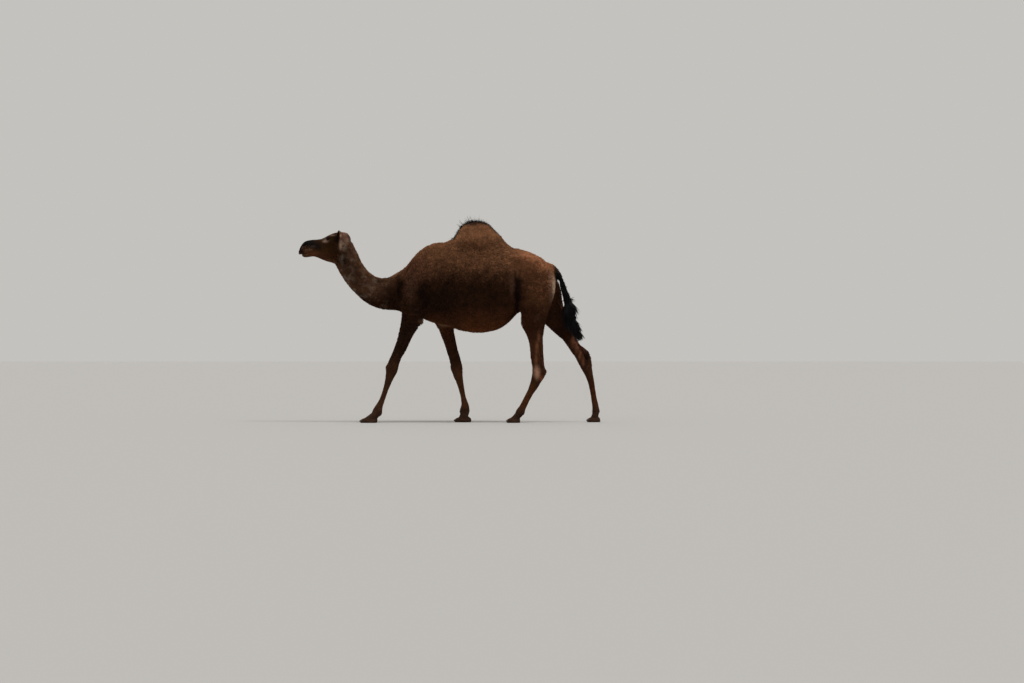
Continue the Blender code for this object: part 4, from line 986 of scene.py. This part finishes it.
def coatTree():
    tree = bpy.data.node_groups.new("coatLocks", "GeometryNodeTree")
    inputs = {"Geometry": "Geometry", "Locks": "Collection", "Stray": "Float", "Lift": "Float",
              "Uneven": "Float", "Seed": "Int", "Finish": "Material"}
    for name, kind in inputs.items():
        tree.interface.new_socket(name, in_out="INPUT", socket_type="NodeSocket" + kind)
    tree.interface.new_socket("Geometry", in_out="OUTPUT", socket_type="NodeSocketGeometry")
    given = tree.nodes.new("NodeGroupInput").outputs
    end = tree.nodes.new("NodeGroupOutput")

    def held(name):
        return addNode(tree, "GeometryNodeInputNamedAttribute", {"Name": name},
                       data_type="FLOAT_VECTOR").outputs["Attribute"]

    def between(low, high, seedStep):
        seed = addNode(tree, "FunctionNodeIntegerMath", {0: given["Seed"], 1: seedStep}, operation="ADD")
        return addNode(tree, "FunctionNodeRandomValue", {"Seed": seed.outputs[0], 2: low, 3: high},
                       data_type="FLOAT").outputs[1]

    # x along the coat's lie and z out of the skin, then turned aside and lifted a little by chance
    axes = {"Primary Axis": held("out"), "Secondary Axis": held("lie")}
    lay = addNode(tree, "FunctionNodeAxesToRotation", axes, primary_axis="Z", secondary_axis="X")
    least, most = (calc(tree, "MULTIPLY", given["Lift"], share) for share in (-1.6, 0.5))
    lifted = between(least, most, 7)
    aside = between(calc(tree, "SUBTRACT", 0.0, given["Stray"]), given["Stray"], 1)
    turn = addNode(tree, "ShaderNodeCombineXYZ", {"Y": lifted, "Z": aside})
    turned = addNode(tree, "FunctionNodeEulerToRotation", {0: turn.outputs[0]})
    lay = addNode(tree, "FunctionNodeRotateRotation", {0: lay.outputs[0], 1: turned.outputs[0]},
                  rotation_space="LOCAL")
    least, most = (calc(tree, operation, 1.0, given["Uneven"]) for operation in ("SUBTRACT", "ADD"))
    size = vectorCalc(tree, "SCALE", held("size"), Scale=between(least, most, 2))
    kinds = addNode(tree, "GeometryNodeCollectionInfo",
                    {"Collection": given["Locks"], "Separate Children": True, "Reset Children": True})
    # one of the five locks of the set
    which = addNode(tree, "FunctionNodeRandomValue", {"Seed": given["Seed"], 4: 0, 5: 4}, data_type="INT")
    laid = addNode(tree, "GeometryNodeInstanceOnPoints",
                   {"Points": given["Geometry"], "Instance": kinds.outputs[0], "Pick Instance": True,
                    "Instance Index": which.outputs[2], "Rotation": lay.outputs[0], "Scale": size})
    shaded = addNode(tree, "GeometryNodeStoreNamedAttribute",
                     {"Geometry": laid.outputs[0], "Name": "lockShade", "Value": between(0.0, 1.0, 3)},
                     data_type="FLOAT", domain="INSTANCE")
    real = addNode(tree, "GeometryNodeRealizeInstances", {"Geometry": shaded.outputs[0]})
    # each lock's patch of the map is 0.003 across, at its root's place on the unwrapped skin
    spot = vectorCalc(tree, "ADD", held("rootMap"), vectorCalc(tree, "SCALE", held("patch"), Scale=0.003))
    last = addNode(tree, "GeometryNodeStoreNamedAttribute",
                   {"Geometry": real.outputs[0], "Name": "OFBake", "Value": spot},
                   data_type="FLOAT2", domain="CORNER")
    for name in ("patch", "rootMap", "size", "lie", "out"):
        last = addNode(tree, "GeometryNodeRemoveAttribute", {"Geometry": last.outputs[0], "Name": name})
    finished = addNode(tree, "GeometryNodeSetMaterial",
                       {"Geometry": last.outputs[0], "Material": given["Finish"]})
    tree.links.new(finished.outputs[0], end.inputs[0])
    return tree


locksTree = coatTree()


def layLocks(name, roots, locks, material, seed, stray=0.35, lift=0.1, uneven=0.3):
    # roots: their places, and for each its lie, way out of the skin, size, place on the skin's map and the
    # painted light that brightens its hair
    mesh = bpy.data.meshes.new(name)
    mesh.from_pydata(roots["at"].tolist(), [], [])
    for key in ("lie", "out", "size", "rootMap", "tone"):
        if key in roots:
            store(mesh, key, roots[key])
    obj = newObject(name, mesh)
    laying = obj.modifiers.new("locks", "NODES")
    laying.node_group = locksTree
    values = {"Locks": locks, "Stray": stray, "Lift": lift, "Uneven": uneven, "Seed": seed,
              "Finish": material}
    for item in locksTree.interface.items_tree:
        if item.in_out == "INPUT" and item.name in values:
            laying[item.identifier] = values[item.name]
    applyModifiers(obj)
    return obj


def mapOf(obj, faces):
    # the object's own shape, unwrapped on a light copy, gives each root near it a place on the coat's map
    light = newObject("light", obj.data.copy())
    reduceTo(light, min(1.0, faces / len(obj.data.polygons)))
    bpy.ops.object.select_all(action="DESELECT")
    bpy.context.view_layer.objects.active = light
    light.select_set(True)
    bpy.ops.object.mode_set(mode="EDIT")
    bpy.ops.mesh.select_all(action="SELECT")
    bpy.ops.uv.smart_project(angle_limit=math.radians(66), island_margin=0.004)
    bpy.ops.object.mode_set(mode="OBJECT")
    made = surfaceOf(light)
    made["uv"] = read(light.data.uv_layers.active.data, "uv", 2)[trianglesOf(light.data, "loops")]
    made["tree"] = BVHTree.FromPolygons(made["points"].tolist(), made["triangles"].tolist())
    bpy.data.objects.remove(light)
    return made


def surfaceOf(obj):
    points, triangles = pointsOf(obj.data), trianglesOf(obj.data)
    corners = points[triangles]
    across = np.cross(corners[:, 1] - corners[:, 0], corners[:, 2] - corners[:, 0])
    return {"points": points, "normals": normalsOf(obj.data), "triangles": triangles,
            "middles": corners.mean(1), "areas": np.linalg.norm(across, axis=1) / 2}


skinSurface, skinMap = surfaceOf(skin), mapOf(skin, 9000)
print("skin unwrapped for the coat's map")


def placeOnMap(points, unwrapped):
    # where the nearest spot of the unwrapped shape lies on its map
    made = np.zeros((len(points), 3))
    for i, p in enumerate(points):
        spot, _, index, _ = unwrapped["tree"].find_nearest(p)
        a, b, c = unwrapped["points"][unwrapped["triangles"][index]]
        ab, ac, ap = b - a, c - a, np.array(spot) - a
        d00, d01, d11, d20, d21 = ab @ ab, ab @ ac, ac @ ac, ap @ ab, ap @ ac
        low = max(d00 * d11 - d01 * d01, 1e-16)
        v, w = (d11 * d20 - d01 * d21) / low, (d00 * d21 - d01 * d20) / low
        made[i, :2] = (1 - v - w, v, w) @ unwrapped["uv"][index]
    return made


neckLine = [(-1.15, 0, 1.905), (-1.11, 0, 1.8), (-1.084, 0, 1.715), (-1.04, 0, 1.625), (-0.976, 0, 1.53),
            (-0.893, 0, 1.445), (-0.8, 0, 1.384), (-0.705, 0, 1.356), (-0.61, 0, 1.354), (-0.53, 0, 1.368),
            (-0.43, 0, 1.4)]


def lieOf(p, out):
    # which way the coat lies: back and down the body, down the legs, back over the face, up the hump
    x, y, z = p.T
    across, zero, one = np.sign(y), 0 * x, np.ones(len(p))

    def way(*direction):
        return np.tile(direction, (len(p), 1))

    lie = way(0.86, 0.0, -0.5)
    parts = (
        (ease(x, 0.7, 1.0), way(0.35, 0.0, -0.94)),
        (ease(z, 1.8, 1.95) * ease(x, -0.05, 0.05) * fall(x, 0.55, 0.66),
         way(0.45, 0.0, 0.75) - np.stack([zero, 0.4 * across, zero], 1)),
        (neckOf(p), alongPath(p, neckLine)[2] + (0, 0, -0.35)),
        (legOf(p), way(0.12, 0.0, -1.0)),
        (tailOf(p), alongPath(p, tailLine)[2]),
        (isHead(p), np.stack([one, 0.15 * across, 0.1 - 0.5 * ease(1.88 - z, 0.0, 0.12)], 1)),
        (isEar(p), way(0.1, 0.0, 1.0) + np.stack([zero, 0.3 * across, zero], 1)),
    )
    for share, towards in parts:
        lie += share[:, None] * (towards - lie)
    # gentle swirls
    swirl = 0.35 * np.sin(9.0 * x + 7.0 * z) * np.sin(11.0 * z - 5.0 * x + 2.0 * across)
    lie += swirl[:, None] * np.cross(out, lie)
    lie -= (lie * out).sum(1)[:, None] * out
    return lie / np.maximum(np.linalg.norm(lie, axis=1), 1e-6)[:, None]


def pickRoots(weight, count, size, sink=0.2, surface=skinSurface, unwrapped=skinMap):
    # roots spread evenly by area and weight; size is length, width and height in metres, or a function that
    # gives them for each root, and sink is the share of its height that a tuft starts below the skin
    steps = np.cumsum(surface["areas"] * np.clip(weight(surface["middles"]), 0, None))
    picks = (np.arange(count) + chance.random(count)) / count * steps[-1]
    corners = surface["triangles"][np.minimum(np.searchsorted(steps, picks), len(steps) - 1)]
    u, v = chance.random(count), chance.random(count)
    over = u + v > 1
    u[over], v[over] = 1 - u[over], 1 - v[over]
    shares = np.stack([1 - u - v, u, v], 1)[:, :, None]
    at = (surface["points"][corners] * shares).sum(1)
    out = unit((surface["normals"][corners] * shares).sum(1))
    sizes = size(at) if callable(size) else np.tile(size, (count, 1)).astype(float)
    return {"at": at - out * sizes[:, 2:] * sink, "out": out, "lie": lieOf(at, out), "size": sizes,
            "rootMap": placeOnMap(at, unwrapped)}


def bare(p):
    # 0 where there are no locks: nostrils, lips, lids, the pad of the breast and the soles
    q = mirrored(p)
    covered = np.ones(len(p))
    covered *= ease(np.linalg.norm(q - eyeAt - (0, 0.01, 0), axis=1), 0.017, 0.021)
    covered *= ease(alongPath(q, headForm["nostril"])[0], 0.006, 0.012)
    covered *= ease(alongPath(q * (1, 0, 1), sideView(headForm["mouth"]))[0], 0.004, 0.01)
    covered *= ease(p[:, 2], 0.012, 0.035)
    covered *= ease(np.linalg.norm((p - padAt) / (1, 0.8, 0.6), axis=1), 0.055, 0.075)
    return covered


coat = {
    # tufts, the length, width and height of each in metres, and how far it strays and lifts in radians
    "head": {"count": 15500, "size": (0.0135, 0.003, 0.0028), "stray": 0.2, "lift": 0.05},
    "neck": {"count": 14500, "size": (0.03, 0.0068, 0.0078), "stray": 0.38, "lift": 0.11},
    "shoulders": {"count": 14100, "size": (0.03, 0.0078, 0.008), "stray": 0.38, "lift": 0.11},
    "barrel": {"count": 15500, "size": (0.031, 0.0082, 0.0078), "stray": 0.38, "lift": 0.1},
    "quarters": {"count": 14000, "size": (0.029, 0.0078, 0.0076), "stray": 0.34, "lift": 0.1},
    "hump": {"count": 9600, "size": (0.038, 0.0082, 0.0095), "stray": 0.42, "lift": 0.12},
    "forelegs": {"count": 12200, "size": (0.019, 0.005, 0.004), "stray": 0.24, "lift": 0.05},
    "hindlegs": {"count": 12200, "size": (0.019, 0.005, 0.004), "stray": 0.24, "lift": 0.05},
}


def humpOf(p):
    above = ease(p[:, 2] + 0.1 * np.cos(6 * (p[:, 0] - 0.28)), 1.9, 1.97)
    return above * ease(p[:, 0], -0.08, 0.02) * fall(p[:, 0], 0.6, 0.7)


def upperBody(p):
    return (1 - legOf(p)) * (1 - humpOf(p))


def thickerBelow(p):
    # the smaller tufts of the lower legs stand closer
    return 1 + 1.6 * fall(p[:, 2], 0.15, 0.7)


zones = {
    "head": lambda p: isHead(p) * bare(p) * (1 + 1.2 * ease(p[:, 0], -1.3, -1.18)),
    "neck": lambda p: neckOf(p) * bare(p),
    "shoulders": lambda p: ((1 - neckOf(p)) * (1 - isHead(p)) * (1 - legOf(p)) * (1 - humpOf(p))
                            * fall(p[:, 0], -0.16, 0.2) * bare(p)),
    "barrel": lambda p: upperBody(p) * ease(p[:, 0], -0.16, 0.2) * fall(p[:, 0], 0.45, 0.9),
    "quarters": lambda p: upperBody(p) * ease(p[:, 0], 0.45, 0.9),
    "hump": lambda p: humpOf(p) * (1 - 0.4 * crestOf(p)),
    "forelegs": lambda p: legOf(p) * fall(p[:, 0], 0.3, 0.4) * bare(p) * thickerBelow(p),
    "hindlegs": lambda p: legOf(p) * ease(p[:, 0], 0.3, 0.4) * bare(p) * thickerBelow(p),
}


def sizeFor(part):
    # a deeper, woollier coat on the hump's top and the throat; a shorter one toward muzzle, ears and feet
    def size(p):
        x, z = p[:, 0], p[:, 2]
        made = np.tile(np.array(coat[part]["size"]), (len(p), 1))
        if part == "neck":      # a beard along the throat
            away = alongPath(p * (1, 0.6, 1), [(-1.1, 0, 1.7), (-1.04, 0, 1.6), (-0.96, 0, 1.5)])[0]
            made[:, 0] *= 1 + 0.9 * fall(away, 0.055, 0.095) * (x < -0.95)
            made[:, 2] *= 1 + 0.8 * fall(away, 0.055, 0.095) * (x < -0.95)
        if part == "head":
            made *= (0.55 + 0.75 * ease(x, -1.45, -1.18))[:, None]
            made *= (1 - 0.58 * isEar(p))[:, None]
            made[:, 0] *= 1 + 0.9 * ease(x, -1.16, -1.1)
        if part in ("forelegs", "hindlegs"):
            made *= (0.46 + 0.95 * ease(z, 0.08, 0.95))[:, None]
        if part == "hump":
            made[:, 0] *= 1 + 0.5 * crestOf(p)
        return made
    return size


for turn, (part, form) in enumerate(coat.items()):
    roots = pickRoots(zones[part], form["count"], sizeFor(part))
    x, y, z = roots["at"].T
    hair, roots["tone"] = wool, 0 * x
    if part in ("head", "forelegs", "hindlegs"):
        hair = sleek
        # painted light on the sparse tufts of lower legs and muzzle, making up for the shade of their spikes
        roots["tone"] = 0.85 * fall(z, 0.1, 0.55) + 0.5 * isHead(roots["at"]) * fall(x, -1.44, -1.28)
    laid = layLocks("coat_" + part, roots, shortLocks, hair, 1 + 10 * turn, form["stray"], form["lift"])
    dress(laid, "coat")
    print("coat:", part, form["count"], "tufts")

# the hump's black fringe stands up along the crest, longest in its middle, and leans outward
fringe = {
    "count": 2900, "length": 0.036, "width": 0.0044,
    "wisps": 0.05, "wispLength": 2.0,      # the share of long stray hairs, and how much longer they are
}
roots = pickRoots(lambda p: crestOf(p) ** 2 * fall(np.abs(p[:, 1]), 0.015, 0.085), fringe["count"],
                  (fringe["length"], fringe["width"], 0.004))
share = alongPath(roots["at"], crestPath)[1]
forward = np.interp(share, [0, 0.2, 0.5, 0.8, 1], [-0.75, -0.35, 0.1, 0.45, 0.8])
lean = np.stack([forward, 0.3 * np.sign(roots["at"][:, 1]), 0 * share], 1)
roots["lie"] = unit(roots["out"] + lean * 0.8 + (0, 0, 0.35) + chance.normal(0, 0.24, (len(share), 3)))
roots["out"] = unit(np.cross(roots["lie"], (0, 1, 0)) + 1e-4)
wisp = (chance.random(len(share)) < fringe["wisps"]) * fall(np.abs(share - 0.42), 0.15, 0.35)
longer = np.interp(share, [0, 0.15, 0.35, 0.5, 0.7, 1], [0.55, 0.75, 0.95, 1.0, 0.75, 0.45])
roots["size"][:, 0] *= longer * (1 + (fringe["wispLength"] - 1) * wisp)
dress(layLocks("hump_fringe", roots, longLocks, coarse, 101, stray=0.3, lift=0.2, uneven=0.5), "coat")
print("hump fringe laid")

# the tail's brush: a dark core of packed hair, and long strands that hang over it and meet at its tip
brushForm = {
    "core": [0.24, 0.34, 0.46, 0.6, 0.84],      # its girth from the tip upwards, as shares of the solid's
    "strands": 4000, "length": 0.125, "width": 0.0052, "tip": (1.368, -0.024, 0.88),
    "upperHairs": 1800, "upperSize": (0.06, 0.0042, 0.01),      # on the tail above the brush
}
core = fusedSolids("tail_core", ["tail_brush"], 0.0, 0.006)
corePoints = smoothed(pointsOf(core.data), edgesOf(core.data), np.ones(len(core.data.vertices)), 6)
brushLine = np.array(tailLine[5:], float)
spots = np.stack([np.interp(-corePoints[:, 2], -brushLine[:, 2], brushLine[:, axis]) for axis in range(3)], 1)
girth = np.interp(corePoints[:, 2], [0.92, 1.02, 1.12, 1.2, 1.28], brushForm["core"])[:, None]
offset = (corePoints - spots) * girth
slimmer = np.interp(corePoints[:, 2], [0.9, 1.0, 1.2, 1.3], [0.6, 0.45, 0.55, 1.0])
offset[:, 0] *= np.where(offset[:, 0] < 0, slimmer, 1.0)
setPoints(core.data, spots + offset)
core.data.materials.append(coarse)
setSmooth(core.data)
dress(core, "tail_hair", "tail_brush")

brushSurface, brushMap = surfaceOf(core), mapOf(core, 3000)
roots = pickRoots(lambda p: 0.35 + ease(p[:, 2], 0.9, 1.1), brushForm["strands"],
                  (1.0, brushForm["width"], 0.01), sink=0.3, surface=brushSurface, unwrapped=brushMap)
toTip = np.array(brushForm["tip"]) - roots["at"]
away = np.linalg.norm(toTip, axis=1)
closing = fall(roots["at"][:, 2], 0.98, 1.16)[:, None]
way = (1 - closing) * alongPath(roots["at"], tailLine)[2] + closing * toTip / np.maximum(away, 0.01)[:, None]
way += (0.1 - 0.06 * closing) * roots["out"] + chance.normal(0, 0.06, way.shape)
roots["lie"] = unit(way)
roots["out"] += (roots["out"] * roots["lie"]).sum(1)[:, None] * -roots["lie"] + (0, 0.02, 0)
roots["size"][:, 0] = np.minimum(brushForm["length"], 0.84 * away + 0.004)
dress(layLocks("tail_strands", roots, longLocks, coarse, 111, stray=0.13, lift=0.05, uneven=0.5), "tail_hair")
# dark hair also hangs from the tail above its brush, longer the lower it grows
roots = pickRoots(lambda p: tailOf(p) * fall(p[:, 2], 1.48, 1.63), brushForm["upperHairs"],
                  brushForm["upperSize"])
roots["size"][:, 0] = np.interp(roots["at"][:, 2], [1.3, 1.42, 1.58], [0.075, 0.07, 0.034])
dress(layLocks("tail_dark_hair", roots, longLocks, coarse, 121, stray=0.1, lift=0.06), "tail_hair")
print("tail laid")

# short fur over the lids, up to their bare edges
lidFur = {"count": 520, "size": (0.0065, 0.0022, 0.0016)}
for name, side in sides.items():
    centre = eyeAt * (1, side, 1)
    look, level, high = (np.array(axis) for axis in eyeAxes(side))
    lids = bpy.data.objects["eyelids_" + name]

    def overLid(p):
        fromEye = p - centre
        wide = np.linalg.norm(np.stack([fromEye @ level / 1.25, fromEye @ high], 1), axis=1) / eyeRadius
        outside = np.linalg.norm(fromEye, axis=1) > 1.05 * eyeRadius
        return ease(wide, 0.66, 0.76) * (fromEye @ look / eyeRadius > 0.12) * outside

    roots = pickRoots(overLid, lidFur["count"], lidFur["size"], surface=surfaceOf(lids))
    dress(layLocks("lid_fur_" + name, roots, shortLocks, wool, 141, stray=0.25, lift=0.05), "coat")

# lashes: long upper ones that sweep out and down, shorter lower ones
lashForm = {"upper": 0.019, "lower": 0.008, "thick": 0.0006, "upperCount": 64, "lowerCount": 24}
lidRadius = eyeRadius * 1.06
for name, side in sides.items():
    centre = eyeAt * (1, side, 1)
    look, level, high = (np.array(axis) for axis in eyeAxes(side))
    turn = np.concatenate([np.linspace(0.08, 0.92, lashForm["upperCount"]),
                           np.linspace(1.2, 1.8, lashForm["lowerCount"])]) * math.pi
    turn += chance.normal(0, 0.02, len(turn))
    c, s = np.cos(turn)[:, None], np.sin(turn)[:, None]
    upper = s > 0
    spread = level * c * 0.78 + high * s * np.where(upper, 0.56, 0.44)
    spread *= lidRadius
    forth = np.sqrt(np.maximum(lidRadius ** 2 - (spread ** 2).sum(1), 1e-5))
    at = centre + spread + look * forth[:, None]
    way = unit(look * 0.85 + level * c * 0.75 + high * np.where(upper, -0.1, -0.45))
    out = np.where(upper, -high, high) + 0 * way      # the upper lashes curve up, and the lower ones down
    out = -out - (-out * way).sum(1)[:, None] * way
    length = np.where(upper, lashForm["upper"], lashForm["lower"])[:, 0] * (1 - 0.35 * np.abs(c[:, 0]))
    sizes = np.stack([length, 0 * length + lashForm["thick"], 0.3 * length], 1)
    roots = {"at": at, "out": unit(out), "lie": way, "size": sizes, "rootMap": placeOnMap(at, skinMap)}
    laid = layLocks("lashes_" + name, roots, longLocks, coarse, 131, stray=0.12, lift=0.05, uneven=0.15)
    dress(laid, "coat")
print("lids and lashes laid")

# floor, light and camera
stage = {
    "floor": "#b9b7b4", "surround": "#c4c2be", "reach": 1500,
    "key": 1.8, "keySoftness": 26, "keyWay": (-0.34, 0.3, -1.0),
    "lens": 85, "camera": (0.654, -25.4, 0.65), "aim": (0.654, 0, 0.8505),
}
floorMesh = bpy.data.meshes.new("floor")
reach = stage["reach"]
corners = [(-reach, -reach, 0), (reach, -reach, 0), (reach, reach, 0), (-reach, reach, 0)]
floorMesh.from_pydata(corners, [], [(0, 1, 2, 3)])
# pale studio floor: an even light grey with no gloss
matt, tree, shader = newMaterial("paleStudioFloor", 0.9, 0.1)
shader.inputs["Base Color"].default_value = toLinear(stage["floor"])
floorMesh.materials.append(matt)
newObject("floor", floorMesh)

world = bpy.data.worlds.new("studio")
world.use_nodes = True
world.node_tree.nodes["Background"].inputs["Color"].default_value = toLinear(stage["surround"])
bpy.context.scene.world = world

key = bpy.data.lights.new("key", "SUN")
key.energy = stage["key"]
key.angle = math.radians(stage["keySoftness"])
keyLight = bpy.data.objects.new("key", key)
keyLight.rotation_euler = Vector(stage["keyWay"]).to_track_quat("-Z", "Y").to_euler()
bpy.context.scene.collection.objects.link(keyLight)

lens = bpy.data.cameras.new("camera")
lens.lens = stage["lens"]
lens.sensor_width = 36
lens.clip_end = 4000
camera = bpy.data.objects.new("camera", lens)
camera.location = stage["camera"]
camera.rotation_euler = (Vector(stage["aim"]) - camera.location).to_track_quat("-Z", "Y").to_euler()
bpy.context.scene.collection.objects.link(camera)
bpy.context.scene.camera = camera
bpy.context.scene.view_settings.view_transform = "Standard"
